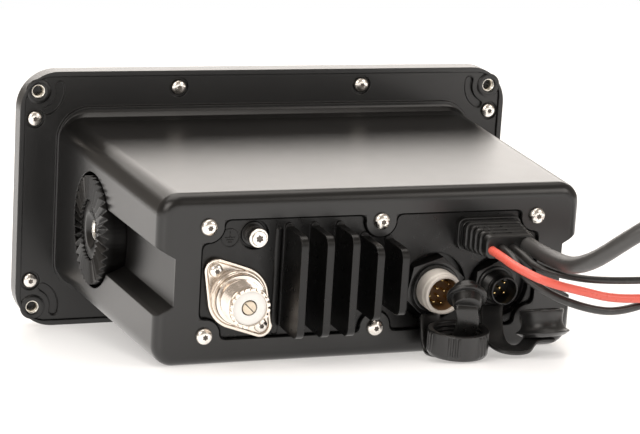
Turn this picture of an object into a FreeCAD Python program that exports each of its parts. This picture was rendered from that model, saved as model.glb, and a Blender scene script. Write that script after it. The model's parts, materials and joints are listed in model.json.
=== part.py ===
"""Fixed-mount VHF marine radio, modelled as its separate pieces.

Sizes are in millimetres.  Every piece is drawn in the radio's own axes: x to the right as seen from
the front, y towards the rear with 0 at the rear plane of the flange, z up from the middle of the face.
The radio rests leaning back on its front trim and the lower rear edge, so the finished pieces are
turned about x by that lean and set down on the plane z = 0.
"""
import FreeCAD, Part
import math
import os

V = FreeCAD.Vector
UNIT_X = V(1, 0, 0)
UNIT_Y = V(0, 1, 0)
UNIT_Z = V(0, 0, 1)

# ---- front trim, flange and front panel ----
TRIM_WIDTH = 208.0          # outside width of the clip-on trim
TRIM_HEIGHT = 104.0         # outside height of the clip-on trim
TRIM_CORNER = 15.5          # outside corner radius
TRIM_WALL = 2.0             # side wall of the trim, over the flange
TRIM_LIP = 0.8              # how far the trim stands behind the flange
TRIM_BAND = 7.0             # straight part of the side wall in front of the flange
TRIM_DEPTH = 16.0           # flange plane to the front of the trim
TRIM_TAPER = 4.5            # how much the front edge draws in on each side
TRIM_EDGE = 1.8             # rounding of the trim's front edge
TRIM_RING = 9.0             # width of the trim round the face, seen from the front
FIT = 0.15                  # clearance of a hand fit, per side
SEAT_GAP = 0.05             # gap of a rubber ring on its seat
FLANGE_THICK = 3.0
GASKET_THICK = 1.0
PANEL_BASE = 4.0            # thickness of the panel's clamped edge
PANEL_SINK = 1.6            # how far the face lies behind the front of the trim
PANEL_SKIN = 2.5            # wall of the face
PANEL_RIM = 4.7             # solid margin inside the face's outline
PANEL_POST = 2.4            # radius of the posts that carry the front board
FRONT_BOARD_SIDE_GAP = 0.9  # from the front board to the panel's side wall
FRONT_BOARD_TOP_GAP = 0.3   # and to its top and bottom walls
FRONT_BOARD_SPEAKER_GAP = 1.3

# ---- rear housing ----
BODY_DEPTH = 120.8          # flange plane to the rear face
BASE_HALF_WIDTH = 88.9      # raised base where the body meets the flange
BASE_HALF_HEIGHT = 37.9
BASE_CORNER = 13.0
BASE_RAISE = 1.8
ROOT_HALF_WIDTH = 87.9      # body just behind its root fillet
ROOT_HALF_HEIGHT = 33.2
ROOT_FILLET = 9.0           # length of the concave root fillet along the body
ROOT_STEPS = 4              # ruled strips that make up the concave fillet
ROOT_INSET = 0.3            # how far the fillet's ends run under the faces that they blend into
BODY_CORNER = 8.0           # rounding of the body's four long edges
REAR_HALF_WIDTH = 82.0      # body at the rear face
REAR_HALF_HEIGHT = 31.8
REAR_EDGE = 4.6             # rounding of the rear face's edge
REAR_WALL = 4.0
CAVITY_HALF_WIDTH = 72.0
CAVITY_HALF_HEIGHT = 28.0
CAVITY_CORNER = 5.0

# ---- tilt ratchets and side channels ----
RATCHET_Y = 46.5            # centre of the ratchets behind the flange plane
RATCHET_RADIUS = 20.8
RATCHET_FACE = 87.8         # tooth crests, measured from the middle plane
RATCHET_TEETH = 36
RATCHET_TOOTH = 2.6         # tooth depth at the outside
RATCHET_HUB = 11.9          # plain recess inside the teeth
RATCHET_HUB_SINK = 3.2
RATCHET_GAP = 1.4           # pocket beyond the teeth
POCKET_FLOOR = 75.2         # pocket floor from the middle plane
CHANNEL_HALF_OUTER = 12.5   # half height of the channel at the side face
CHANNEL_HALF_INNER = 8.8
CHANNEL_DEPTH = 6.4
PIVOT_INSERT_RADIUS = 4.0
PIVOT_BORE = 2.1            # M5 tapping radius
PIVOT_INSERT_LENGTH = 10.0
INSERT_SINK = 0.4

# ---- flange hardware ----
CORNER_HOLE_SIDE = 7.2      # corner holes, in from the side of the trim
CORNER_HOLE_TOP = 7.8       # and from its top or bottom
CORNER_INSERT_RADIUS = 3.0
CORNER_BORE = 2.0
CORNER_BOSS = 5.0
FLANGE_CORNER = 11.0        # squarer than the trim, round the corner holes
CORNER_BOSS_RAISE = 0.5
KIDNEY_RADIUS = 9.0         # centre line of the relief beside each corner hole
KIDNEY_WIDTH = 3.2
KIDNEY_SINK = 1.0
KIDNEY_SPAN = (14, -64)     # angles of its ends from the line towards the middle
KIDNEY_STEPS = 6
SIDE_SCREW_SIDE = 6.1       # flange screws beside the body, in from the side of the trim
SIDE_SCREW_TOP = 18.8       # and from its top or bottom
TOP_SCREW_X = 39.3          # flange screws above and below the body
TOP_SCREW_TOP = 7.0
SCREW_HEAD = 2.9            # head radius of the housing screws
SCREW_HEAD_HEIGHT = 2.2
SCREW_SHANK = 1.45
SCREW_PLAY = 0.05
SCREW_HOLE_PLAY = 0.25
SMALL_SIDES = 12            # sides of screw shanks, their holes and contact pins
COUNTERBORE = 3.9
COUNTERBORE_SINK = 1.0
REAR_SCREW_X = 63.9
REAR_SCREW_Z = 20.15
MIDDLE_SCREW_X = -1.8

# ---- heatsink plate ----
WINDOW_LEFT = -65.2
WINDOW_RIGHT = 65.8
WINDOW_BOTTOM = -21.7
WINDOW_TOP = 22.3
WINDOW_NOTCH = 6.3          # radius of the notch round each rear screw
WINDOW_BLEND = 2.0
PLATE_SINK = 1.3            # plate surface below the rear face
PLATE_BASE = 4.0            # thickness of the hidden part behind the window
PLATE_BASE_MARGIN = 4.6
PLATE_GAP = 0.25
FIN_COUNT = 5
FIN_FIRST_X = 33.4
FIN_PITCH = 9.7
FIN_THICK = 2.7
FIN_REACH = 18.0            # fin height above the plate
FIN_TOPS = (19.3, 19.3, 19.3, 14.8, 13.4)
FIN_BOTTOMS = (-18.4, -18.4, -18.4, -13.0, -11.6)
FIN_CORNER = 3.6
GROUND_X = 46.2
GROUND_Z = 16.3
GROUND_RECESS = 5.4
GROUND_SINK = 2.4
GROUND_HEAD = 3.5
GROUND_SHANK = 2.0
GROUND_STAND = 8.0

# ---- antenna socket ----
ANTENNA_X = 51.7
ANTENNA_Z = -6.4
ANTENNA_EAR_X = 8.9         # ear offset from the axis
ANTENNA_EAR_Z = 10.6
ANTENNA_FLANGE = 11.6       # middle radius of the flange
ANTENNA_EAR = 4.4
ANTENNA_FLANGE_THICK = 2.2
ANTENNA_RIM = 1.2
ANTENNA_RIM_SINK = 0.8
ANTENNA_COLLAR = 9.4
ANTENNA_COLLAR_LENGTH = 2.6
ANTENNA_THREAD = 7.94       # outside radius of the 5/8 inch thread
ANTENNA_REACH = 15.0        # flange seat to the front rim
ANTENNA_RIM_RADIUS = 7.5
ANTENNA_RIM_LENGTH = 1.6
ANTENNA_NOTCHES = 20
ANTENNA_NOTCH_DEPTH = 1.0
ANTENNA_NOTCH_SWING = 0.08  # half angle of a notch, in radians
ANTENNA_BORE = 6.3
ANTENNA_CONTACT = 2.9
ANTENNA_PIN_BORE = 2.0
ANTENNA_SCREW_HEAD = 2.4
ANTENNA_SCREW_LENGTH = 6.0

# ---- signal sockets ----
HANDSET_X = -24.4
HANDSET_Z = -6.0
HANDSET_BARREL = 7.9        # outside radius
HANDSET_LIP = 7.4
HANDSET_CAVITY = 6.1
HANDSET_REACH = 131.0       # front rim behind the flange plane
HANDSET_HEX = 21.0          # nut across flats
HANDSET_RECESS = 13.0
HANDSET_RING_PINS = 9
HANDSET_INNER_PINS = 3
NETWORK_X = -48.8
NETWORK_Z = -5.8
NETWORK_BARREL = 6.0
NETWORK_LIP = 5.35
NETWORK_CAVITY = 4.6
NETWORK_REACH = 130.4
NETWORK_HEX = 16.0
NETWORK_RECESS = 12.3
NETWORK_RECESS_SHIFT_X = -2.1
NETWORK_RECESS_SHIFT_Z = -0.9
SOCKET_SINK = 3.2           # recess round each socket below the plate
NUT_THICK = 5.6
LIP_LENGTH = 2.2
INSERT_DEPTH = 8.0          # insert face below the front rim
PIN_DEPTH = 4.5             # pin tips below the front rim
PIN_RADIUS = 0.5
SOCKET_TAIL = 9.0           # shell behind the plate's recess
BARREL_PLAY = 0.1

# ---- cable grommet ----
GROMMET_X = -44.6
GROMMET_Z = 14.2
GROMMET_BASE_WIDTH = 25.4
GROMMET_BASE_HEIGHT = 12.4
GROMMET_END_WIDTH = 19.4
GROMMET_END_HEIGHT = 8.4
GROMMET_PLINTH = 3.6
GROMMET_REACH = 140.8       # end face behind the flange plane
GROMMET_RIBS = 5
GROMMET_GROOVE = 1.3
GROMMET_GROOVE_DEPTH = 1.3
GROMMET_TAIL = 5.0
GROMMET_STEP = 2.0          # how far the part in the plate is smaller than the base

# ---- caps and tethers ----
CUP_X = -27.0
CUP_Y = 139.5
CUP_RADIUS = 11.2
CUP_RIB = 0.45              # half width and height of a grip rib
CUP_RIB_PITCH = 9.0         # degrees between the ribs of a group
CUP_EDGE = 1.5              # rounding of the floor's edge
CUP_HEIGHT = 9.6
CUP_BOTTOM = -25.7
CUP_BORE = 9.2
CUP_FLOOR = 1.6
CUP_HOLE = 5.2              # hole in the floor, round the strap
CUP_RIB_GROUPS = 6
CUP_RIBS_PER_GROUP = 3
TETHER_THICK = 1.8
TETHER_RING = 2.6           # width of the ring on the barrel
TETHER_RING_THICK = 1.8
HANDSET_STRAP = 8.2
PLUG_CENTRE = (-28.2, 142.0, -4.2)
PLUG_AXIS = (-0.23, -0.75, 0.62)
PLUG_CROWN = 5.4            # crown height above the brim's underside
PLUG_CROWN_RADIUS = 5.2
PLUG_BRIM = 7.2
PLUG_BRIM_THICK = 2.2
PLUG_NECK = 6.0
PLUG_NECK_LENGTH = 3.4
NETWORK_STRAP = 8.8
PUSH_CAP_X = -61.0
PUSH_CAP_Y = 139.0
PUSH_CAP_BOTTOM = -20.6
PUSH_CAP_TOP_RADIUS = 8.2
PUSH_CAP_DISC_RADIUS = 9.9
PUSH_CAP_HEIGHT = 9.8
PUSH_CAP_BORE = 6.3
PUSH_CAP_FLOOR = 2.2

# ---- cords: diameter, exit on the grommet's end in the radio's axes, length of the first run, which is
# ---- square to that end, and the rest of the route in the finished axes ----
CORDS = {
    "data_cable": (6.1, (-51.4, 14.7), 17.0, (
        (-50.0, 129.0, 37.5), (-61.0, 150.5, 52.5), (-87.0, 157.0, 66.5), (-114.0, 146.0, 69.0),
        (-136.0, 124.5, 47.0), (-151.5, 112.0, 25.0), (-166.0, 107.0, 8.0))),
    "thin_lead": (2.7, (-45.3, 13.9), 8.0, (
        (-47.5, 99.0, 35.0), (-58.0, 110.0, 32.0), (-71.5, 113.5, 31.0), (-93.0, 116.0, 31.0),
        (-114.5, 116.0, 27.0), (-134.0, 113.0, 20.5), (-150.5, 107.0, 13.5), (-166.0, 101.5, 7.5))),
    "red_lead": (3.2, (-37.2, 13.2), 9.0, (
        (-38.0, 102.5, 36.0), (-45.0, 111.5, 31.5), (-58.0, 115.0, 28.0), (-71.5, 114.0, 24.5),
        (-93.5, 115.5, 24.5), (-114.5, 115.5, 20.0), (-134.0, 112.5, 14.0), (-150.5, 107.0, 8.5),
        (-166.0, 101.5, 4.0))),
    "black_lead": (3.0, (-41.1, 13.8), 8.5, (
        (-41.0, 100.5, 33.0), (-48.0, 109.0, 26.5), (-60.5, 113.0, 21.5), (-73.5, 112.5, 19.5),
        (-91.5, 112.0, 24.0), (-113.0, 111.0, 20.5), (-133.0, 108.5, 14.0), (-150.0, 103.0, 8.0),
        (-165.5, 98.0, 3.5))),
}
CORD_ARC_SHARE = 0.45       # share of the shorter run that an arc takes up
CORD_SIDES = 10             # sides of a cord's plain section
COIL_X = -166.0
COIL_Y = 66.0
COIL_OUTER = 45.5
COIL_INNER = 29.0
COIL_HEIGHT = 12.6
COIL_LIFT = 0.1
COIL_ROUND = 3.0            # bevel of the coil's upper edges
TIE_WIDTH = 5.0
TIE_THICK = 1.2
TIE_GAP = 0.2
TIE_ANGLE = 215.0           # place of the tie round the coil

# ---- front controls, placed by shares of the face's half width and half height ----
KNOB_ACROSS = 0.779
VOLUME_KNOB_UP = 0.488
CHANNEL_KNOB_UP = -0.209
KNOB_SHARE = 0.256          # knob radius as a share of the half height
KNOB_HEIGHT = 13.0
KNOB_GAP = 0.9              # under the knob, more than its push
KNOB_PUSH = 0.5
KNOB_BEVEL = 1.4
KNOB_SKIRT = 2.6            # plain band behind the flutes
KNOB_FLUTES = 18
KNOB_FLUTE = 0.7            # depth of a flute
KNOB_FLUTE_SWING = 0.09     # half angle of a flute's mouth, in radians
SHAFT_RADIUS = 3.0
RUNNING_GAP = 0.06
ENCODER_HALF = 6.0
KEY_TRAVEL = 0.7
KEY_PROUD = 0.9
KEY_BEVEL = 0.5
KEY_CORNER = 1.8
KEY_GAP = 0.2
KEY_FLANGE = 0.8
KEY_FLANGE_THICK = 0.85
KEY_WIDTH_SHARE = 0.179
KEY_HEIGHT_SHARE = 0.153
KEY_PITCH_SHARE = 0.2316
SOFT_KEY_UP = -0.477
SOFT_KEY_COUNT = 3
LOWER_KEY_UP = -0.779
DISPLAY_ACROSS = -0.0842
DISPLAY_UP = 0.302
DISPLAY_WIDTH_SHARE = 0.821
DISPLAY_HEIGHT_SHARE = 1.07
LENS_THICK = 1.6
LENS_LEDGE = 2.0
LENS_CORNER = 3.0
GRILLE_ACROSS = -0.758
GRILLE_UP = 0.372
GRILLE_SHARE = 0.184        # grille radius as a share of the half width
GRILLE_BARS = 7
GRILLE_THICK = 1.4
SPEAKER_DEPTH = 5.2
SPEAKER_DISH = 2.4          # depth of the cone
SPEAKER_BASKET = 3.4
SPEAKER_RIM = 0.5           # speaker rim beyond the grille
MIC_UP = -0.581
MIC_RADIUS = 8.5
MIC_STAND = 5.0
MIC_BORE = 6.2
MIC_FLOOR = 2.4             # socket floor behind the face
MIC_PINS = 8
MIC_PIN_CIRCLE = 4.2
DISTRESS_ACROSS = 0.6526
DISTRESS_UP = -0.772
DISTRESS_WIDTH_SHARE = 0.421
DISTRESS_HEIGHT_SHARE = 0.302
DISTRESS_BUTTON_PROUD = 1.4
COVER_THICK = 1.6
COVER_STAND = 4.4
HINGE_PIN = 0.9
HINGE_EAR = 3.0
HINGE_BARREL = 1.9

# ---- boards inside the housing ----
BOARD_THICK = 1.6
BOARD_CORNER = 4.0
BOARD_SIDE_GAP = 8.0
BOARD_FRONT = 14.0
BOARD_BACK_GAP = 5.8        # from the heatsink plate's back
SHIELD_SPAN = (-0.47, 0.53) # sides of the screening can, as shares of the board's half width
SHIELD_LENGTH = 46.0
SHIELD_HEIGHT = 9.4
POST_RADIUS = 3.5

# ---- derived sizes ----
HALF_WIDTH = TRIM_WIDTH / 2
HALF_HEIGHT = TRIM_HEIGHT / 2
FLANGE_HALF_WIDTH = HALF_WIDTH - TRIM_WALL - FIT
FLANGE_HALF_HEIGHT = HALF_HEIGHT - TRIM_WALL - FIT
PANEL_BACK = -FLANGE_THICK - GASKET_THICK
PANEL_STEP = PANEL_BACK - PANEL_BASE
PANEL_FRONT = -TRIM_DEPTH + PANEL_SINK
PANEL_INNER = PANEL_FRONT + PANEL_SKIN
FACE_HALF_WIDTH = HALF_WIDTH - TRIM_RING
FACE_HALF_HEIGHT = HALF_HEIGHT - TRIM_RING
FACE_CORNER = TRIM_CORNER - TRIM_RING * 0.6
CORNER_HOLE_X = HALF_WIDTH - CORNER_HOLE_SIDE
CORNER_HOLE_Z = HALF_HEIGHT - CORNER_HOLE_TOP
FLANGE_SCREWS = ((HALF_WIDTH - SIDE_SCREW_SIDE, HALF_HEIGHT - SIDE_SCREW_TOP),
                 (TOP_SCREW_X, HALF_HEIGHT - TOP_SCREW_TOP))
KNOB_X = KNOB_ACROSS * FACE_HALF_WIDTH
VOLUME_KNOB_Z = VOLUME_KNOB_UP * FACE_HALF_HEIGHT
CHANNEL_KNOB_Z = CHANNEL_KNOB_UP * FACE_HALF_HEIGHT
KNOB_RADIUS = KNOB_SHARE * FACE_HALF_HEIGHT
KEY_WIDTH = KEY_WIDTH_SHARE * FACE_HALF_WIDTH
KEY_HEIGHT = KEY_HEIGHT_SHARE * FACE_HALF_HEIGHT
KEY_PITCH = KEY_PITCH_SHARE * FACE_HALF_WIDTH
SOFT_KEY_Z = SOFT_KEY_UP * FACE_HALF_HEIGHT
LOWER_KEY_Z = LOWER_KEY_UP * FACE_HALF_HEIGHT
DISPLAY_X = DISPLAY_ACROSS * FACE_HALF_WIDTH
DISPLAY_Z = DISPLAY_UP * FACE_HALF_HEIGHT
DISPLAY_WIDTH = DISPLAY_WIDTH_SHARE * FACE_HALF_WIDTH
DISPLAY_HEIGHT = DISPLAY_HEIGHT_SHARE * FACE_HALF_HEIGHT
GRILLE_X = GRILLE_ACROSS * FACE_HALF_WIDTH
GRILLE_Z = GRILLE_UP * FACE_HALF_HEIGHT
GRILLE_RADIUS = GRILLE_SHARE * FACE_HALF_WIDTH
MIC_X = GRILLE_X
MIC_Z = MIC_UP * FACE_HALF_HEIGHT
DISTRESS_X = DISTRESS_ACROSS * FACE_HALF_WIDTH
DISTRESS_Z = DISTRESS_UP * FACE_HALF_HEIGHT
DISTRESS_WIDTH = DISTRESS_WIDTH_SHARE * FACE_HALF_WIDTH
DISTRESS_HEIGHT = DISTRESS_HEIGHT_SHARE * FACE_HALF_HEIGHT
DISTRESS_BUTTON_HALF_WIDTH = 0.3 * DISTRESS_WIDTH
DISTRESS_BUTTON_HALF_HEIGHT = 0.26 * DISTRESS_HEIGHT
HINGE_Z = DISTRESS_Z + DISTRESS_HEIGHT / 2 + 1.4
HINGE_Y = PANEL_FRONT - 2.2
FRONT_BOARD_LEFT = GRILLE_X + GRILLE_RADIUS + SPEAKER_RIM + FRONT_BOARD_SPEAKER_GAP
FRONT_BOARD_RIGHT = FACE_HALF_WIDTH - PANEL_RIM - FRONT_BOARD_SIDE_GAP
FRONT_BOARD_HALF_HEIGHT = FACE_HALF_HEIGHT - PANEL_RIM - FRONT_BOARD_TOP_GAP
PLATE_FACE = BODY_DEPTH - PLATE_SINK
WALL_INNER = BODY_DEPTH - REAR_WALL
PLATE_SEAT = WALL_INNER - GASKET_THICK
PLATE_BACK = PLATE_SEAT - PLATE_BASE
SOCKET_FLOOR = PLATE_FACE - SOCKET_SINK
NUT_FRONT = SOCKET_FLOOR + NUT_THICK
FRONT_BOARD_FRONT = -5.9
PIVOT_SEAT = RATCHET_FACE - RATCHET_HUB_SINK
BOARD_Z = -CAVITY_HALF_HEIGHT / 2
BOARD_HALF_WIDTH = CAVITY_HALF_WIDTH - BOARD_SIDE_GAP
BOARD_REAR = PLATE_BACK - BOARD_BACK_GAP
REAR_SCREWS = [(x, z) for x in (REAR_SCREW_X, MIDDLE_SCREW_X, -REAR_SCREW_X)
               for z in (REAR_SCREW_Z, -REAR_SCREW_Z)]
SIDE_DRAFT = (ROOT_HALF_WIDTH - REAR_HALF_WIDTH) / (BODY_DEPTH - BASE_RAISE - ROOT_FILLET)
ROOF_DRAFT = (ROOT_HALF_HEIGHT - REAR_HALF_HEIGHT) / (BODY_DEPTH - BASE_RAISE - ROOT_FILLET)


def side_face(y):
    """Half width of the body at a depth y."""
    return REAR_HALF_WIDTH + (BODY_DEPTH - y) * SIDE_DRAFT


def roof_face(y):
    """Half height of the body at a depth y."""
    return REAR_HALF_HEIGHT + (BODY_DEPTH - y) * ROOF_DRAFT


def rest_lean():
    """Lean angle, in degrees, of the line from the trim's lower edge to the lower rear rounding."""
    along = BODY_DEPTH - REAR_EDGE - TRIM_LIP
    rise = HALF_HEIGHT - roof_face(BODY_DEPTH - REAR_EDGE) + REAR_EDGE * math.hypot(1, ROOF_DRAFT)
    reach = math.hypot(along, rise)
    return math.degrees(math.atan2(rise, along) - math.asin(REAR_EDGE / reach))


# ---- small helpers ----
def block(x0, x1, y0, y1, z0, z1):
    return Part.makeBox(x1 - x0, y1 - y0, z1 - z0, V(x0, y0, z0))


def rod(radius, y0, y1, x=0.0, z=0.0):
    """Cylinder along y."""
    return Part.makeCylinder(radius, y1 - y0, V(x, y0, z), UNIT_Y)


def tube(outer, inner, y0, y1, x=0.0, z=0.0):
    return rod(outer, y0, y1, x, z).cut(rod(inner, y0 - 1, y1 + 1, x, z))


def rounded_wire(half_width, half_height, corner, y, x=0.0, z=0.0):
    """Rounded rectangle in the plane at depth y."""
    edges = []
    turn = math.sqrt(0.5)
    for k, (sx, sz) in enumerate(((1, 1), (-1, 1), (-1, -1), (1, -1))):
        cx = x + sx * (half_width - corner)
        cz = z + sz * (half_height - corner)
        begin = V(cx + corner * (sx if k % 2 == 0 else 0), y, cz + corner * (0 if k % 2 == 0 else sz))
        end = V(cx + corner * (0 if k % 2 == 0 else sx), y, cz + corner * (sz if k % 2 == 0 else 0))
        middle = V(cx + corner * turn * sx, y, cz + corner * turn * sz)
        if edges:
            edges.append(Part.LineSegment(edges[-1].EndPoint, begin))
        edges.append(Part.Arc(begin, middle, end))
    edges.append(Part.LineSegment(edges[-1].EndPoint, edges[0].StartPoint))
    return Part.Wire([edge.toShape() for edge in edges])


def slab(half_width, half_height, corner, y0, y1, x=0.0, z=0.0):
    face = Part.Face(rounded_wire(half_width, half_height, corner, y0, x, z))
    return face.extrude(V(0, y1 - y0, 0))


def loft(wires, ruled=True):
    return Part.makeLoft(wires, True, ruled)


def hexagon(across_flats, y0, y1, x, z, first_angle=0.0):
    corner = across_flats / math.sqrt(3)
    points = []
    for k in range(7):
        angle = math.radians(first_angle + 60 * k)
        points.append(V(x + corner * math.cos(angle), y0, z + corner * math.sin(angle)))
    return Part.Face(Part.makePolygon(points)).extrude(V(0, y1 - y0, 0))


def prism_y(points, y0, y1):
    """Prism along y over a closed outline of (x, z) points."""
    corners = [V(x, y0, z) for x, z in points]
    return Part.Face(Part.makePolygon(corners + corners[:1])).extrude(V(0, y1 - y0, 0))


def turned(profile, x, z):
    """Solid of revolution about an axis along y; profile holds (radius, y) points."""
    corners = [V(x + radius, y, z) for radius, y in profile]
    face = Part.Face(Part.makePolygon(corners + corners[:1]))
    return face.revolve(V(x, 0, z), UNIT_Y, 360)


def small_rod(radius, y0, y1, x, z):
    """Thin rod along y, drawn with few sides."""
    angles = [2 * math.pi * k / SMALL_SIDES for k in range(SMALL_SIDES)]
    return prism_y([(x + radius * math.cos(angle), z + radius * math.sin(angle)) for angle in angles], y0, y1)


def vee_notch(corners, x, z, y0, y1):
    """Wedge along y whose corners are given as (radius, angle) about (x, z)."""
    outline = [(x + radius * math.cos(angle), z + radius * math.sin(angle)) for radius, angle in corners]
    return prism_y(outline, y0, y1)


def polyhedron(outlines):
    """Solid bounded by flat faces; each outline is a list of corners."""
    faces = [Part.Face(Part.makePolygon(list(corners) + [corners[0]])) for corners in outlines]
    shell = Part.Shell(faces)
    shell.sewShape()
    solid = Part.Solid(shell)
    return solid if solid.Volume > 0 else solid.reversed()


def edges_at_y(shape, y):
    """Edges that lie wholly in the plane at depth y."""
    return [edge for edge in shape.Edges if edge.BoundBox.YLength < 1e-4 and abs(edge.BoundBox.YMin - y) < 1e-3]


def mirrored(shape):
    return shape.mirror(V(0, 0, 0), UNIT_X)


def four_corners(x, z):
    return [(sx * x, sz * z) for sx in (1, -1) for sz in (1, -1)]


def housing_screw(x, z, seat, length, head=SCREW_HEAD):
    """Button-head screw whose head sits on y = seat and whose shank points forward."""
    crown = seat + SCREW_HEAD_HEIGHT
    profile = [(0, seat), (head, seat), (head, seat + SCREW_HEAD_HEIGHT * 0.5), (head * 0.7, crown), (0, crown)]
    return turned(profile, x, z).fuse(small_rod(SCREW_SHANK, seat - length, seat + 0.1, x, z))


# ---- rear housing ----
def root_skirt():
    """Concave root fillet between the raised base and the body's top, bottom and corners."""
    wires = []
    start = BASE_RAISE - 0.4
    stop = BASE_RAISE + ROOT_FILLET
    for step in range(ROOT_STEPS + 1):
        angle = math.radians(90 * step / ROOT_STEPS)
        y = stop - (stop - start) * math.cos(angle)
        share = math.sin(angle)
        half_height = BASE_HALF_HEIGHT - ROOT_INSET - (BASE_HALF_HEIGHT - ROOT_HALF_HEIGHT) * share
        corner = BASE_CORNER - (BASE_CORNER - BODY_CORNER) * share
        wires.append(rounded_wire(side_face(y) - ROOT_INSET, half_height, corner, y))
    return loft(wires)


def body_block():
    """Tapered body with rounded corners and a rounded edge round its rear face."""
    near, far = [[V(sx * side_face(y), y, sz * roof_face(y)) for sx, sz in ((1, 1), (-1, 1), (-1, -1), (1, -1))]
                 for y in (BASE_RAISE - 1, BODY_DEPTH)]
    sides = [[near[k - 1], near[k], far[k], far[k - 1]] for k in range(4)]
    body = polyhedron([near, far] + sides)
    body = body.makeFillet(BODY_CORNER, [edge for edge in body.Edges if edge.BoundBox.YLength > 1])
    return body.makeFillet(REAR_EDGE, edges_at_y(body, BODY_DEPTH))


def side_channel():
    """Channel on the right side, from the ratchet pocket out through the rear."""
    wires = []
    for y in (RATCHET_Y, BODY_DEPTH + 1):
        outer = side_face(y)
        flare = (CHANNEL_HALF_OUTER - CHANNEL_HALF_INNER) / CHANNEL_DEPTH
        points = [V(outer - CHANNEL_DEPTH, y, CHANNEL_HALF_INNER),
                  V(outer + 3, y, CHANNEL_HALF_OUTER + 3 * flare),
                  V(outer + 3, y, -CHANNEL_HALF_OUTER - 3 * flare),
                  V(outer - CHANNEL_DEPTH, y, -CHANNEL_HALF_INNER)]
        wires.append(Part.makePolygon(points + points[:1]))
    return loft(wires)


def ratchet_ring(radius, x):
    """Corners of the toothed ring, two to a tooth, in the plane at x."""
    corners = []
    for k in range(2 * RATCHET_TEETH):
        angle = math.pi * k / RATCHET_TEETH
        corners.append(V(x, RATCHET_Y + radius * math.cos(angle), radius * math.sin(angle)))
    return corners


def ratchet():
    """Toothed tilt ratchet on the right side, on its boss, with a recessed hub."""
    foot = ratchet_ring(RATCHET_RADIUS, POCKET_FLOOR - 1)
    rim = [corner + V(-RATCHET_TOOTH if k % 2 else 0, 0, 0)
           for k, corner in enumerate(ratchet_ring(RATCHET_RADIUS, RATCHET_FACE))]
    apex = V(RATCHET_FACE, RATCHET_Y, 0)
    outlines = [foot]
    for k in range(2 * RATCHET_TEETH):
        outlines += [[apex, rim[k - 1], rim[k]], [rim[k - 1], rim[k], foot[k], foot[k - 1]]]
    recess = ratchet_ring(RATCHET_HUB, RATCHET_FACE - RATCHET_HUB_SINK)
    hub = Part.Face(Part.makePolygon(recess + recess[:1])).extrude(V(RATCHET_HUB_SINK + 1, 0, 0))
    return polyhedron(outlines).cut(hub)


def pivot_axis_rod(radius, outer_x, length):
    return Part.makeCylinder(radius, length, V(outer_x - length, RATCHET_Y, 0), UNIT_X)


def window_outline(inset):
    """Outline of the rear window, notched round each rear screw."""
    face = slab((WINDOW_RIGHT - WINDOW_LEFT) / 2 - inset, (WINDOW_TOP - WINDOW_BOTTOM) / 2 - inset,
                WINDOW_BLEND, 0, 1, (WINDOW_RIGHT + WINDOW_LEFT) / 2, (WINDOW_TOP + WINDOW_BOTTOM) / 2)
    face = face.cut([rod(WINDOW_NOTCH + inset, -1, 2, x, z) for x, z in REAR_SCREWS])
    return face.removeSplitter()


def window_prism(inset, y0, y1):
    flat = min(window_outline(inset).Faces, key=lambda face: face.CenterOfMass.y)
    base = Part.Face(flat.OuterWire)
    base.translate(V(0, y0, 0))
    return base.extrude(V(0, y1 - y0, 0))


def kidney(x, z):
    """Curved relief on the inner side of a corner hole."""
    towards = math.atan2(0, -x)
    turn = -1 if x * z > 0 else 1
    begin, end = [towards + turn * math.radians(angle) for angle in KIDNEY_SPAN]
    half = KIDNEY_WIDTH / 2
    outline = []
    for radius, first, last in ((KIDNEY_RADIUS + half, begin, end), (KIDNEY_RADIUS - half, end, begin)):
        for k in range(KIDNEY_STEPS + 1):
            angle = first + (last - first) * k / KIDNEY_STEPS
            outline.append((x + radius * math.cos(angle), z + radius * math.sin(angle)))
        heading = last if radius > KIDNEY_RADIUS else last + math.pi
        for share in (0.25, 0.5, 0.75):
            angle = heading - turn * math.pi * share
            outline.append((x + KIDNEY_RADIUS * math.cos(last) + half * math.cos(angle),
                            z + KIDNEY_RADIUS * math.sin(last) + half * math.sin(angle)))
    return prism_y(outline, -KIDNEY_SINK, 1)


def board_posts():
    return [(sx * (BOARD_HALF_WIDTH - 2 * POST_RADIUS), y) for sx in (1, -1)
            for y in (BOARD_FRONT + 2 * POST_RADIUS, BOARD_REAR - 2 * POST_RADIUS)]


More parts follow.
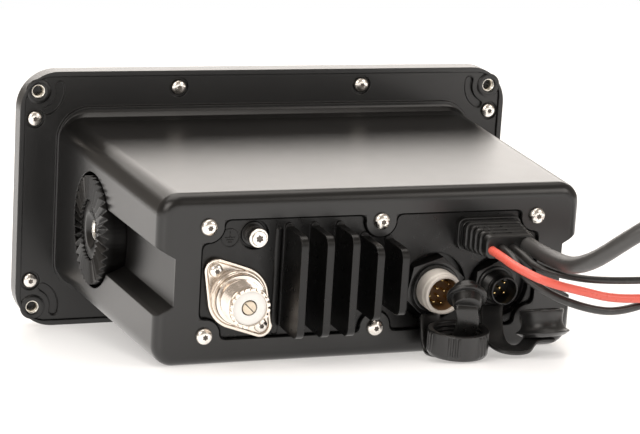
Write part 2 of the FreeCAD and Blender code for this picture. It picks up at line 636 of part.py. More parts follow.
def rear_housing():
    flange = slab(FLANGE_HALF_WIDTH, FLANGE_HALF_HEIGHT, FLANGE_CORNER, -FLANGE_THICK, 0)
    outline = slab(FLANGE_HALF_WIDTH, FLANGE_HALF_HEIGHT, FLANGE_CORNER, -1, CORNER_BOSS_RAISE)
    bosses = [rod(CORNER_BOSS, -1, CORNER_BOSS_RAISE, x, z).common(outline)
              for x, z in four_corners(CORNER_HOLE_X, CORNER_HOLE_Z)]
    base = slab(BASE_HALF_WIDTH, BASE_HALF_HEIGHT, BASE_CORNER, -1, BASE_RAISE)
    shell = flange.fuse([base, root_skirt(), body_block()] + bosses)
    channel = side_channel()
    pocket = Part.makeCylinder(RATCHET_RADIUS + RATCHET_GAP, 40, V(POCKET_FLOOR, RATCHET_Y, 0), UNIT_X)
    shell = shell.cut([channel, mirrored(channel), pocket, mirrored(pocket)])
    boss = ratchet()
    shell = shell.fuse([boss, mirrored(boss)])
    cavity = slab(CAVITY_HALF_WIDTH, CAVITY_HALF_HEIGHT, CAVITY_CORNER, -FLANGE_THICK - 1, WALL_INNER)
    insert_hole = pivot_axis_rod(PIVOT_INSERT_RADIUS, PIVOT_SEAT + 1, PIVOT_INSERT_LENGTH + 1)
    cuts = [cavity, window_prism(0, WALL_INNER - 1, BODY_DEPTH + 1), insert_hole, mirrored(insert_hole)]
    for x, z in four_corners(CORNER_HOLE_X, CORNER_HOLE_Z):
        cuts.append(rod(CORNER_INSERT_RADIUS, -FLANGE_THICK - 1, 2, x, z))
        cuts.append(kidney(x, z))
    for hole_x, hole_z in FLANGE_SCREWS:
        for x, z in four_corners(hole_x, hole_z):
            cuts.append(small_rod(SCREW_SHANK + SCREW_HOLE_PLAY, -FLANGE_THICK - 1, 1, x, z))
            cuts.append(rod(COUNTERBORE, -COUNTERBORE_SINK, SCREW_HEAD_HEIGHT, x, z))
    cuts += [small_rod(SCREW_SHANK + SCREW_HOLE_PLAY, WALL_INNER - 1, BODY_DEPTH + 1, x, z)
             for x, z in REAR_SCREWS]
    shell = shell.cut(cuts)
    foot = -CAVITY_HALF_HEIGHT - 1
    return shell.fuse([Part.makeCylinder(POST_RADIUS, BOARD_Z - foot, V(x, y, foot), UNIT_Z)
                       for x, y in board_posts()])


def corner_inserts():
    return [tube(CORNER_INSERT_RADIUS, CORNER_BORE, -FLANGE_THICK, CORNER_BOSS_RAISE - INSERT_SINK, x, z)
            for x, z in four_corners(CORNER_HOLE_X, CORNER_HOLE_Z)]


def pivot_inserts():
    outer = pivot_axis_rod(PIVOT_INSERT_RADIUS, PIVOT_SEAT + INSERT_SINK, PIVOT_INSERT_LENGTH + INSERT_SINK)
    insert = outer.cut(pivot_axis_rod(PIVOT_BORE, PIVOT_SEAT + 5, PIVOT_INSERT_LENGTH + 4))
    return [insert, mirrored(insert)]


def flange_screws():
    length = FLANGE_THICK - COUNTERBORE_SINK + GASKET_THICK + PANEL_BASE - 0.6
    return [housing_screw(x, z, -COUNTERBORE_SINK, length)
            for hole_x, hole_z in FLANGE_SCREWS for x, z in four_corners(hole_x, hole_z)]


def rear_screws():
    length = REAR_WALL + GASKET_THICK + PLATE_BASE - 0.6
    return [housing_screw(x, z, BODY_DEPTH, length) for x, z in REAR_SCREWS]


# ---- front trim and panel ----
def front_trim():
    band = slab(HALF_WIDTH, HALF_HEIGHT, TRIM_CORNER, -TRIM_BAND, TRIM_LIP)
    nose = loft([rounded_wire(HALF_WIDTH, HALF_HEIGHT, TRIM_CORNER, -TRIM_BAND),
                 rounded_wire(HALF_WIDTH - TRIM_TAPER, HALF_HEIGHT - TRIM_TAPER, TRIM_CORNER - TRIM_TAPER * 0.6,
                              -TRIM_DEPTH)])
    nose = nose.makeFillet(TRIM_EDGE, edges_at_y(nose, -TRIM_DEPTH))
    inside = slab(HALF_WIDTH - TRIM_WALL, HALF_HEIGHT - TRIM_WALL, FLANGE_CORNER, PANEL_STEP - FIT,
                  TRIM_LIP + 1)
    window = slab(FACE_HALF_WIDTH, FACE_HALF_HEIGHT, FACE_CORNER, -TRIM_DEPTH - 1, 0)
    return band.fuse(nose).cut([inside, window])


def key_places():
    """Name, centre x, centre z, half width and half height of every key."""
    places = []
    for k in range(SOFT_KEY_COUNT):
        x = DISPLAY_X + (k - (SOFT_KEY_COUNT - 1) / 2) * KEY_PITCH
        places.append(("soft_key_%d" % (k + 1), x, SOFT_KEY_Z, KEY_WIDTH / 2, KEY_HEIGHT / 2))
    for k, name in enumerate(("menu_key", "clear_key", "channel_16_key")):
        x = DISPLAY_X + (k - 1) * KEY_PITCH
        places.append((name, x, LOWER_KEY_Z, KEY_WIDTH / 2, KEY_HEIGHT / 2))
    return places


def panel_posts():
    return [(x, z) for x in (FRONT_BOARD_LEFT + PANEL_POST, FRONT_BOARD_RIGHT - PANEL_POST)
            for z in (1 - FRONT_BOARD_HALF_HEIGHT, FRONT_BOARD_HALF_HEIGHT - 1)]


def front_panel():
    base = slab(FLANGE_HALF_WIDTH, FLANGE_HALF_HEIGHT, FLANGE_CORNER, PANEL_STEP, PANEL_BACK)
    face = slab(FACE_HALF_WIDTH - FIT, FACE_HALF_HEIGHT - FIT, FACE_CORNER, PANEL_FRONT, PANEL_STEP + 1)
    hollow = slab(FACE_HALF_WIDTH - PANEL_RIM, FACE_HALF_HEIGHT - PANEL_RIM, 4, PANEL_INNER, PANEL_BACK + 1)
    panel = base.fuse(face).cut(hollow)
    panel = panel.fuse([rod(PANEL_POST, PANEL_INNER - 0.5, FRONT_BOARD_FRONT, x, z) for x, z in panel_posts()])
    cuts = [slab(DISPLAY_WIDTH / 2 + FIT, DISPLAY_HEIGHT / 2 + FIT, LENS_CORNER, PANEL_FRONT - 1,
                 PANEL_FRONT + LENS_THICK, DISPLAY_X, DISPLAY_Z),
            slab(DISPLAY_WIDTH / 2 - LENS_LEDGE, DISPLAY_HEIGHT / 2 - LENS_LEDGE, LENS_CORNER - 1,
                 PANEL_FRONT - 1, PANEL_INNER + 1, DISPLAY_X, DISPLAY_Z),
            rod(GRILLE_RADIUS + FIT, PANEL_FRONT - 1, PANEL_FRONT + GRILLE_THICK, GRILLE_X, GRILLE_Z),
            rod(GRILLE_RADIUS - 1.5, PANEL_FRONT - 1, PANEL_INNER + 1, GRILLE_X, GRILLE_Z),
            rod(MIC_BORE + 0.6, PANEL_FRONT - 1, PANEL_INNER + 1, MIC_X, MIC_Z)]
    for name, x, z, half_width, half_height in key_places():
        cuts.append(slab(half_width + KEY_GAP, half_height + KEY_GAP, KEY_CORNER + KEY_GAP, PANEL_FRONT - 1,
                         PANEL_INNER + 1, x, z))
    for z in (VOLUME_KNOB_Z, CHANNEL_KNOB_Z):
        cuts.append(rod(SHAFT_RADIUS + RUNNING_GAP, PANEL_FRONT - 1, PANEL_INNER + 1, KNOB_X, z))
    cuts.append(slab(DISTRESS_BUTTON_HALF_WIDTH + KEY_GAP, DISTRESS_BUTTON_HALF_HEIGHT + KEY_GAP, 1.5,
                     PANEL_FRONT - 1, PANEL_INNER + 1, DISTRESS_X, DISTRESS_Z))
    for hole_x, hole_z in FLANGE_SCREWS:
        cuts += [small_rod(SCREW_SHANK + SCREW_PLAY, PANEL_STEP - 1, PANEL_BACK + 1, x, z)
                 for x, z in four_corners(hole_x, hole_z)]
    panel = panel.cut(cuts)
    for sx in (1, -1):
        panel = panel.fuse(hinge_ear(sx))
    return panel


def hinge_rod(radius, length):
    """Cylinder about the axis of the distress cover's hinge."""
    return Part.makeCylinder(radius, length, V(DISTRESS_X - length / 2, HINGE_Y, HINGE_Z), UNIT_X)


def hinge_ear(side):
    """Ear beside the distress cover that holds its hinge pin."""
    inner = DISTRESS_X + side * (DISTRESS_WIDTH / 2 + 0.4)
    outer = inner + side * HINGE_EAR
    ear = block(min(inner, outer), max(inner, outer), HINGE_Y - 2.0, PANEL_FRONT + 0.5, HINGE_Z - 2.0,
                HINGE_Z + 2.0)
    return ear.cut(hinge_rod(HINGE_PIN, DISTRESS_WIDTH + 20))


def panel_gasket():
    ring = slab(FACE_HALF_WIDTH - 0.5, FACE_HALF_HEIGHT - 0.5, FACE_CORNER, PANEL_BACK, -FLANGE_THICK)
    return ring.cut(slab(FACE_HALF_WIDTH - PANEL_RIM + 0.4, FACE_HALF_HEIGHT - PANEL_RIM + 0.4, 4,
                         PANEL_BACK - 1, 0))


def display_lens():
    return slab(DISPLAY_WIDTH / 2, DISPLAY_HEIGHT / 2, LENS_CORNER, PANEL_FRONT, PANEL_FRONT + LENS_THICK,
                DISPLAY_X, DISPLAY_Z)


def display_module():
    inset = LENS_LEDGE + 0.4
    glass = slab(DISPLAY_WIDTH / 2 - inset, DISPLAY_HEIGHT / 2 - inset, 2, PANEL_FRONT + LENS_THICK + 0.05,
                 PANEL_INNER + 1, DISPLAY_X, DISPLAY_Z)
    frame = slab(DISPLAY_WIDTH / 2, DISPLAY_HEIGHT / 2, 2, PANEL_INNER + 0.05, FRONT_BOARD_FRONT, DISPLAY_X,
                 DISPLAY_Z)
    return glass.fuse(frame)


def front_board():
    return slab((FRONT_BOARD_RIGHT - FRONT_BOARD_LEFT) / 2, FRONT_BOARD_HALF_HEIGHT, BOARD_CORNER,
                FRONT_BOARD_FRONT, FRONT_BOARD_FRONT + BOARD_THICK, (FRONT_BOARD_RIGHT + FRONT_BOARD_LEFT) / 2)


def keypad_mat():
    """Rubber mat behind the keys, resting on the front board."""
    front = PANEL_INNER + 0.05 + KEY_FLANGE_THICK + KEY_TRAVEL + 0.15
    half_width = KEY_PITCH * (SOFT_KEY_COUNT - 1) / 2 + KEY_WIDTH / 2
    middle = (SOFT_KEY_Z + LOWER_KEY_Z) / 2
    half_height = (SOFT_KEY_Z - LOWER_KEY_Z) / 2 + KEY_HEIGHT / 2
    return slab(half_width, half_height - 0.5, 2, front, FRONT_BOARD_FRONT, DISPLAY_X, middle + 0.6)


def key_cap(x, z, half_width, half_height):
    shoulder = PANEL_FRONT - KEY_PROUD + KEY_BEVEL
    top = slab(half_width, half_height, KEY_CORNER, shoulder, PANEL_INNER + 0.2, x, z)
    crown = loft([rounded_wire(half_width, half_height, KEY_CORNER, shoulder, x, z),
                  rounded_wire(half_width - KEY_BEVEL, half_height - KEY_BEVEL, KEY_CORNER - KEY_BEVEL,
                               PANEL_FRONT - KEY_PROUD, x, z)])
    flange = slab(half_width + KEY_FLANGE, half_height + KEY_FLANGE, 2, PANEL_INNER + 0.05,
                  PANEL_INNER + 0.05 + KEY_FLANGE_THICK, x, z)
    return top.fuse([crown, flange])


def speaker_grille():
    disc = rod(GRILLE_RADIUS, PANEL_FRONT, PANEL_FRONT + GRILLE_THICK, GRILLE_X, GRILLE_Z)
    pitch = 2 * (GRILLE_RADIUS - 2) / GRILLE_BARS
    slots = []
    for k in range(GRILLE_BARS):
        z = GRILLE_Z - GRILLE_RADIUS + 2 + pitch * (k + 0.5)
        half = math.sqrt(max((GRILLE_RADIUS - 2.5) ** 2 - (z - GRILLE_Z) ** 2, 1))
        slots.append(slab(half, pitch * 0.28, pitch * 0.27, PANEL_FRONT - 1, PANEL_FRONT + GRILLE_THICK + 1,
                          GRILLE_X, z))
    return disc.cut(slots)


def speaker():
    front = PANEL_INNER
    rim = GRILLE_RADIUS + SPEAKER_RIM
    magnet = GRILLE_RADIUS * 0.55
    profile = [(0, front + SPEAKER_DISH), (GRILLE_RADIUS - 3, front), (rim, front), (rim, front + SPEAKER_BASKET),
               (magnet, front + SPEAKER_BASKET), (magnet, front + SPEAKER_DEPTH), (0, front + SPEAKER_DEPTH)]
    return turned(profile, GRILLE_X, GRILLE_Z)


def microphone_socket():
    front = PANEL_FRONT - MIC_STAND
    floor = PANEL_FRONT + MIC_FLOOR
    body = rod(MIC_RADIUS, PANEL_FRONT - 1.6, PANEL_FRONT, MIC_X, MIC_Z)
    body = body.fuse(rod(MIC_BORE + 1.2, front, PANEL_FRONT, MIC_X, MIC_Z))
    body = body.fuse(rod(MIC_BORE + 0.5, PANEL_FRONT - 0.5, floor + 1.2, MIC_X, MIC_Z))
    body = body.cut(rod(MIC_BORE, front - 1, floor, MIC_X, MIC_Z))
    pins = []
    for k in range(MIC_PINS):
        angle = 2 * math.pi * k / MIC_PINS
        x = MIC_X + MIC_PIN_CIRCLE * math.cos(angle)
        z = MIC_Z + MIC_PIN_CIRCLE * math.sin(angle)
        pins.append(small_rod(PIN_RADIUS, front + PIN_DEPTH, floor + 0.5, x, z))
    return body.fuse(pins)


# ---- knobs ----
def encoder(z):
    front = PANEL_INNER + 0.02
    body = block(KNOB_X - ENCODER_HALF, KNOB_X + ENCODER_HALF, front, FRONT_BOARD_FRONT,
                 z - ENCODER_HALF, z + ENCODER_HALF)
    return body.cut(rod(SHAFT_RADIUS + RUNNING_GAP, front - 1, FRONT_BOARD_FRONT - 0.8, KNOB_X, z))


def plunger(z):
    """Push-switch plunger inside the encoder, under the end of the shaft."""
    rear = FRONT_BOARD_FRONT - 0.8 - KNOB_PUSH - 0.1
    return rod(SHAFT_RADIUS, rear - 1.2, rear, KNOB_X, z)


def shaft(z):
    rear = FRONT_BOARD_FRONT - 0.8 - KNOB_PUSH - 0.1 - 1.2
    return rod(SHAFT_RADIUS, PANEL_FRONT - KNOB_GAP - KNOB_HEIGHT + 3, rear - 0.02, KNOB_X, z)


def knob(z):
    rear = PANEL_FRONT - KNOB_GAP
    front = rear - KNOB_HEIGHT
    profile = [(0, front), (KNOB_RADIUS - KNOB_BEVEL, front), (KNOB_RADIUS, front + KNOB_BEVEL), (KNOB_RADIUS, rear),
               (0, rear)]
    body = turned(profile, KNOB_X, z)
    flutes = []
    for k in range(KNOB_FLUTES):
        middle = 2 * math.pi * k / KNOB_FLUTES
        corners = ((KNOB_RADIUS - KNOB_FLUTE, middle), (KNOB_RADIUS + 0.5, middle + KNOB_FLUTE_SWING),
                   (KNOB_RADIUS + 0.5, middle - KNOB_FLUTE_SWING))
        flutes.append(vee_notch(corners, KNOB_X, z, front + KNOB_BEVEL + 0.2, rear - KNOB_SKIRT))
    body = body.cut(flutes)
    pointer = block(KNOB_X - 0.5, KNOB_X + 0.5, front - 1, front + 1.0, z + KNOB_RADIUS * 0.45,
                    z + KNOB_RADIUS - 2.6)
    return body.cut([pointer, rod(SHAFT_RADIUS, front + 3, rear + 1, KNOB_X, z)])


# ---- distress button and cover ----
def distress_button():
    x, z = DISTRESS_X, DISTRESS_Z
    top = slab(DISTRESS_BUTTON_HALF_WIDTH, DISTRESS_BUTTON_HALF_HEIGHT, 1.2,
               PANEL_FRONT - DISTRESS_BUTTON_PROUD, PANEL_INNER + 0.2, x, z)
    flange = slab(DISTRESS_BUTTON_HALF_WIDTH + KEY_FLANGE, DISTRESS_BUTTON_HALF_HEIGHT + KEY_FLANGE, 1.4,
                  PANEL_INNER + 0.05, PANEL_INNER + 0.05 + KEY_FLANGE_THICK, x, z)
    return top.fuse(flange)


def distress_cover():
    """Shallow lid over the distress button, hung from its pin along the top edge."""
    half = DISTRESS_WIDTH / 2
    top = HINGE_Z - 2.2
    bottom = DISTRESS_Z - DISTRESS_HEIGHT / 2
    front = PANEL_FRONT - COVER_STAND
    middle = (top + bottom) / 2
    half_height = (top - bottom) / 2
    lid = slab(half, half_height, 2, front, PANEL_FRONT - 0.3, DISTRESS_X, middle)
    lid = lid.cut(slab(half - COVER_THICK, half_height - COVER_THICK, 1, front + COVER_THICK, PANEL_FRONT + 1,
                       DISTRESS_X, middle))
    web = block(DISTRESS_X - half, DISTRESS_X + half, HINGE_Y - HINGE_BARREL, HINGE_Y - 0.2, top - 1.5, HINGE_Z)
    lid = lid.fuse([hinge_rod(HINGE_BARREL, DISTRESS_WIDTH), web])
    return lid.cut(hinge_rod(HINGE_PIN + RUNNING_GAP, DISTRESS_WIDTH + 2))


def distress_hinge_pin():
    return hinge_rod(HINGE_PIN, DISTRESS_WIDTH + 0.8 + 2 * HINGE_EAR)


# ---- inside ----
def main_board():
    board = block(-BOARD_HALF_WIDTH, BOARD_HALF_WIDTH, BOARD_FRONT, BOARD_REAR, BOARD_Z, BOARD_Z + BOARD_THICK)
    top = BOARD_Z + BOARD_THICK
    left, right = [share * BOARD_HALF_WIDTH for share in SHIELD_SPAN]
    shield = block(left, right, BOARD_REAR - SHIELD_LENGTH - 2, BOARD_REAR - 2, top - 0.1, top + SHIELD_HEIGHT)
    return board.fuse(shield)


def heatsink_gasket():
    ring = slab(CAVITY_HALF_WIDTH - 1.0, CAVITY_HALF_HEIGHT - 1.0, CAVITY_CORNER, PLATE_SEAT, WALL_INNER)
    ring = ring.cut(window_prism(-0.6, PLATE_SEAT - 1, WALL_INNER + 1))
    return ring.cut([small_rod(SCREW_SHANK + SCREW_HOLE_PLAY, PLATE_SEAT - 1, WALL_INNER + 1, x, z)
                     for x, z in REAR_SCREWS])


# ---- heatsink plate ----
def fin(index):
    """Upright fin with rounded outer corners and a small root bead."""
    x = FIN_FIRST_X - FIN_PITCH * index
    top, bottom = FIN_TOPS[index], FIN_BOTTOMS[index]
    y0, y1 = PLATE_FACE - 0.5, PLATE_FACE + FIN_REACH
    panel = block(x - FIN_THICK / 2, x + FIN_THICK / 2, y0, y1, bottom, top)
    outer = [edge for edge in panel.Edges
             if all(abs(vertex.Y - y1) < 1e-6 for vertex in edge.Vertexes)
             and abs(edge.Vertexes[0].X - edge.Vertexes[1].X) > 1e-6]
    panel = panel.makeFillet(FIN_CORNER, outer)
    return panel.fuse(small_rod(FIN_THICK * 0.62, y0, PLATE_FACE + 1.2, x, top - 0.4))


def plate_recess():
    """Recesses round the sockets and the ground screw."""
    return [rod(HANDSET_RECESS, SOCKET_FLOOR, PLATE_FACE + 1, HANDSET_X, HANDSET_Z),
            rod(NETWORK_RECESS, SOCKET_FLOOR, PLATE_FACE + 1, NETWORK_X + NETWORK_RECESS_SHIFT_X,
                NETWORK_Z + NETWORK_RECESS_SHIFT_Z),
            rod(GROUND_RECESS, PLATE_FACE - GROUND_SINK, PLATE_FACE + 1, GROUND_X, GROUND_Z)]


def heatsink_plate():
    base = slab(CAVITY_HALF_WIDTH - 1.0, CAVITY_HALF_HEIGHT - 1.0, CAVITY_CORNER, PLATE_BACK, PLATE_SEAT)
    land = window_prism(PLATE_GAP, PLATE_SEAT - 0.5, PLATE_FACE)
    plate = base.fuse([land] + [fin(k) for k in range(FIN_COUNT)])
    back = PLATE_BACK - 1
    cuts = plate_recess()
    cuts += [small_rod(SCREW_SHANK + SCREW_PLAY, back, PLATE_SEAT + 1, x, z) for x, z in REAR_SCREWS]
    cuts.append(rod(HANDSET_BARREL + BARREL_PLAY, back, PLATE_FACE + 1, HANDSET_X, HANDSET_Z))
    cuts.append(rod(NETWORK_BARREL + BARREL_PLAY, back, PLATE_FACE + 1, NETWORK_X, NETWORK_Z))
    cuts.append(rod(ANTENNA_THREAD + BARREL_PLAY, back, PLATE_FACE + 1, ANTENNA_X, ANTENNA_Z))
    cuts += [small_rod(SCREW_SHANK + SCREW_PLAY, back, PLATE_FACE + 1, ANTENNA_X + s * ANTENNA_EAR_X,
                 ANTENNA_Z + s * ANTENNA_EAR_Z) for s in (1, -1)]
    cuts.append(small_rod(GROUND_SHANK + SCREW_PLAY, back, PLATE_FACE + 1, GROUND_X, GROUND_Z))
    cuts.append(slab(GROMMET_BASE_WIDTH / 2 - GROMMET_STEP + FIT, GROMMET_BASE_HEIGHT / 2 - GROMMET_STEP + FIT,
                     GROMMET_STEP, back, PLATE_FACE + 1, GROMMET_X, GROMMET_Z))
    return plate.cut(cuts)


def ground_screw():
    x, z = GROUND_X, GROUND_Z
    seat = PLATE_FACE - GROUND_SINK
    top = seat + GROUND_STAND
    washer = rod(GROUND_HEAD + 1.0, seat, seat + 1.0, x, z)
    profile = [(0, seat + 0.5), (GROUND_HEAD - 0.4, seat + 0.5), (GROUND_HEAD - 0.4, top - 3.4),
               (GROUND_HEAD, top - 3.4), (GROUND_HEAD, top - 0.5), (GROUND_HEAD - 0.5, top), (0, top)]
    return washer.fuse([turned(profile, x, z), small_rod(GROUND_SHANK, PLATE_BACK, seat + 1, x, z)])


# ---- antenna socket ----
def rhombic(radius, ear, y0, y1):
    """Two-eared flange outline: a disc with straight tangents to both ears."""
    spread = math.hypot(ANTENNA_EAR_X, ANTENNA_EAR_Z)
    lean = math.atan2(ANTENNA_EAR_Z, ANTENNA_EAR_X)
    swing = math.acos((radius - ear) / spread)
    parts = [rod(radius, y0, y1, ANTENNA_X, ANTENNA_Z)]
    for side in (1, -1):
        ear_x = ANTENNA_X + side * ANTENNA_EAR_X
        ear_z = ANTENNA_Z + side * ANTENNA_EAR_Z
        heading = lean + (0 if side > 0 else math.pi)
        points = [(ANTENNA_X, ANTENNA_Z)]
        for turn, (cx, cz), r in ((-1, (ANTENNA_X, ANTENNA_Z), radius), (-1, (ear_x, ear_z), ear),
                                  (1, (ear_x, ear_z), ear), (1, (ANTENNA_X, ANTENNA_Z), radius)):
            angle = heading + turn * swing
            points.append((cx + r * math.cos(angle), cz + r * math.sin(angle)))
        parts += [prism_y(points, y0, y1), rod(ear, y0, y1, ear_x, ear_z)]
    return parts[0].fuse(parts[1:]).removeSplitter()


def antenna_socket():
    seat = PLATE_FACE
    top = seat + ANTENNA_FLANGE_THICK
    front = seat + ANTENNA_REACH
    flange = rhombic(ANTENNA_FLANGE, ANTENNA_EAR, seat, top)
    flange = flange.cut(rhombic(ANTENNA_FLANGE - ANTENNA_RIM, ANTENNA_EAR - ANTENNA_RIM,
                                top - ANTENNA_RIM_SINK, top + 1))
    thread_end = front - ANTENNA_RIM_LENGTH
    collar_end = top + ANTENNA_COLLAR_LENGTH
    profile = [(0, seat - 6), (ANTENNA_THREAD - 0.3, seat - 6), (ANTENNA_THREAD - 0.3, seat + 0.5),
               (ANTENNA_COLLAR, seat + 0.5), (ANTENNA_COLLAR, collar_end - 0.6),
               (ANTENNA_COLLAR - 0.6, collar_end), (ANTENNA_THREAD, collar_end), (ANTENNA_THREAD, thread_end),
               (ANTENNA_RIM_RADIUS, thread_end + 0.3), (ANTENNA_RIM_RADIUS, front), (0, front)]
    socket = flange.fuse(turned(profile, ANTENNA_X, ANTENNA_Z))
    cuts = [rod(ANTENNA_BORE, seat - 7, front + 1, ANTENNA_X, ANTENNA_Z)]
    cuts += [small_rod(SCREW_SHANK + SCREW_PLAY, seat - 1, top + 1, ANTENNA_X + s * ANTENNA_EAR_X,
                 ANTENNA_Z + s * ANTENNA_EAR_Z) for s in (1, -1)]
    for k in range(ANTENNA_NOTCHES):
        middle = 2 * math.pi * k / ANTENNA_NOTCHES
        corners = ((ANTENNA_BORE + 0.6, middle), (ANTENNA_RIM_RADIUS + 0.3, middle + ANTENNA_NOTCH_SWING),
                   (ANTENNA_RIM_RADIUS + 0.3, middle - ANTENNA_NOTCH_SWING))
        cuts.append(vee_notch(corners, ANTENNA_X, ANTENNA_Z, front - ANTENNA_NOTCH_DEPTH, front + 1))
    return socket.cut(cuts)


def antenna_insulator():
    front = PLATE_FACE + ANTENNA_REACH - 0.9
    return tube(ANTENNA_BORE, ANTENNA_CONTACT, PLATE_FACE - 6, front, ANTENNA_X, ANTENNA_Z)


def antenna_contact():
    front = PLATE_FACE + ANTENNA_REACH - 1.2
    contact = rod(ANTENNA_CONTACT, PLATE_FACE - 10, front, ANTENNA_X, ANTENNA_Z)
    contact = contact.cut(rod(ANTENNA_PIN_BORE, front - 10, front + 1, ANTENNA_X, ANTENNA_Z))
    slot = block(-0.3, 0.3, front - 8, front + 1, -4, 4)
    slot.rotate(V(0, 0, 0), UNIT_Y, 45)
    slot.translate(V(ANTENNA_X, 0, ANTENNA_Z))
    return contact.cut(slot)


def antenna_screws():
    seat = PLATE_FACE + ANTENNA_FLANGE_THICK - ANTENNA_RIM_SINK
    return [housing_screw(ANTENNA_X + side * ANTENNA_EAR_X, ANTENNA_Z + side * ANTENNA_EAR_Z, seat,
                          ANTENNA_SCREW_LENGTH, ANTENNA_SCREW_HEAD) for side in (1, -1)]


# ---- signal sockets ----
def socket_shell(x, z, barrel, lip, cavity, front):
    back = SOCKET_FLOOR - SOCKET_TAIL
    profile = [(0, back), (barrel, back), (barrel, front - LIP_LENGTH), (lip, front - LIP_LENGTH + 0.3),
               (lip, front), (0, front)]
    return turned(profile, x, z).cut(rod(cavity, back - 1, front + 1, x, z))


def socket_nut(x, z, across_flats, barrel, first_angle):
    nut = hexagon(across_flats, SOCKET_FLOOR, NUT_FRONT, x, z, first_angle)
    cone = turned([(0, SOCKET_FLOOR - 1), (across_flats, SOCKET_FLOOR - 1), (across_flats, NUT_FRONT - 2.2),
                   (across_flats / 2 - 0.4, NUT_FRONT), (0, NUT_FRONT)], x, z)
    return nut.common(cone).cut(rod(barrel, SOCKET_FLOOR - 1, NUT_FRONT + 1, x, z))


def handset_connector():
    return socket_shell(HANDSET_X, HANDSET_Z, HANDSET_BARREL, HANDSET_LIP, HANDSET_CAVITY, HANDSET_REACH)


def network_connector():
    shell = socket_shell(NETWORK_X, NETWORK_Z, NETWORK_BARREL, NETWORK_LIP, NETWORK_CAVITY, NETWORK_REACH)
    key = block(NETWORK_X - 0.6, NETWORK_X + 0.6, NETWORK_REACH - INSERT_DEPTH, NETWORK_REACH - 0.6,
                NETWORK_Z + NETWORK_CAVITY - 0.7, NETWORK_Z + NETWORK_CAVITY + 0.2)
    return shell.fuse(key)


def socket_insert(x, z, cavity, front):
    return rod(cavity, SOCKET_FLOOR - SOCKET_TAIL + 1, front - INSERT_DEPTH, x, z)


def handset_pin_places():
    places = []
    for k in range(HANDSET_RING_PINS):
        angle = math.radians(20 + 360 * k / HANDSET_RING_PINS)
        places.append((HANDSET_X + 4.4 * math.cos(angle), HANDSET_Z + 4.4 * math.sin(angle)))
    for k in range(HANDSET_INNER_PINS):
        angle = math.radians(50 + 360 * k / HANDSET_INNER_PINS)
        places.append((HANDSET_X + 1.7 * math.cos(angle), HANDSET_Z + 1.7 * math.sin(angle)))
    return places


def network_pin_places():
    places = [(NETWORK_X, NETWORK_Z)]
    for k in range(4):
        angle = math.radians(45 + 90 * k)
        places.append((NETWORK_X + 2.7 * math.cos(angle), NETWORK_Z + 2.7 * math.sin(angle)))
    return places


def contact_pins(places, front):
    return [small_rod(PIN_RADIUS, front - INSERT_DEPTH, front - PIN_DEPTH, x, z) for x, z in places]


# ---- cable grommet ----
def cable_grommet():
    half_base = GROMMET_BASE_WIDTH / 2
    tall_base = GROMMET_BASE_HEIGHT / 2
    plinth_end = PLATE_FACE + GROMMET_PLINTH
    depth = GROMMET_GROOVE_DEPTH
    body = loft([rounded_wire(half_base - 0.8 - depth, tall_base - 0.5 - depth, 2.2, PLATE_FACE, GROMMET_X,
                              GROMMET_Z),
                 rounded_wire(GROMMET_END_WIDTH / 2 - depth, GROMMET_END_HEIGHT / 2 - depth, 2.2,
                              GROMMET_REACH - 1, GROMMET_X, GROMMET_Z)])
    parts = [slab(half_base, tall_base, 3, PLATE_FACE, plinth_end, GROMMET_X, GROMMET_Z),
             slab(half_base - GROMMET_STEP, tall_base - GROMMET_STEP, GROMMET_STEP, PLATE_BACK - GROMMET_TAIL,
                  PLATE_FACE + 0.5, GROMMET_X, GROMMET_Z)]
    pitch = (GROMMET_REACH - plinth_end - GROMMET_GROOVE) / GROMMET_RIBS
    for k in range(GROMMET_RIBS):
        y0 = plinth_end + GROMMET_GROOVE + pitch * k
        y1 = y0 + pitch - GROMMET_GROOVE if k < GROMMET_RIBS - 1 else GROMMET_REACH
        wires = []
        for y in (y0, y1):
            share = (y - plinth_end) / (GROMMET_REACH - plinth_end)
            half_width = half_base - 0.8 - (half_base - 0.8 - GROMMET_END_WIDTH / 2) * share
            half_height = tall_base - 0.5 - (tall_base - 0.5 - GROMMET_END_HEIGHT / 2) * share
            wires.append(rounded_wire(half_width, half_height, 2.6, y, GROMMET_X, GROMMET_Z))
        parts.append(loft(wires))
    return body.fuse(parts)


# ---- tethers and caps ----
def ribbon(stations, width, thick):
    """Flat strap through stations of (centre, width direction, thickness direction)."""
    frames = []
    for centre, across, up in stations:
        across = V(*across).normalize()
        up = V(*up)
        up = (up - across * up.dot(across)).normalize()
        side = across * (width / 2)
        rise = up * (thick / 2)
        middle = V(centre[0], centre[1], centre[2])
        frames.append([middle + side + rise, middle - side + rise, middle - side - rise, middle + side - rise])
    outlines = [frames[0], frames[-1]]
    for near, far in zip(frames, frames[1:]):
        for k in range(4):
            outlines += [[near[k - 1], near[k], far[k]], [near[k - 1], far[k], far[k - 1]]]
    return polyhedron(outlines)


def turned_about(profile, centre, axis):
    """Solid of revolution; profile holds (radius, distance along the axis) points."""
    side = axis.cross(UNIT_X).normalize()
    corners = [centre + side * radius + axis * along for radius, along in profile]
    face = Part.Face(Part.makePolygon(corners + corners[:1]))
    return face.revolve(centre, axis, 360)


def sealing_plug():
    """Rubber plug that closes the handset socket: crown, brim and neck, hanging from its strap."""
    profile = [(0, PLUG_CROWN), (PLUG_CROWN_RADIUS - 0.8, PLUG_CROWN), (PLUG_CROWN_RADIUS, PLUG_CROWN - 0.8),
               (PLUG_CROWN_RADIUS, PLUG_BRIM_THICK), (PLUG_BRIM, PLUG_BRIM_THICK - 0.5), (PLUG_BRIM, 0),
               (PLUG_NECK, 0), (PLUG_NECK - 1.0, -PLUG_NECK_LENGTH), (0, -PLUG_NECK_LENGTH)]
    return turned_about(profile, V(*PLUG_CENTRE), V(*PLUG_AXIS).normalize())


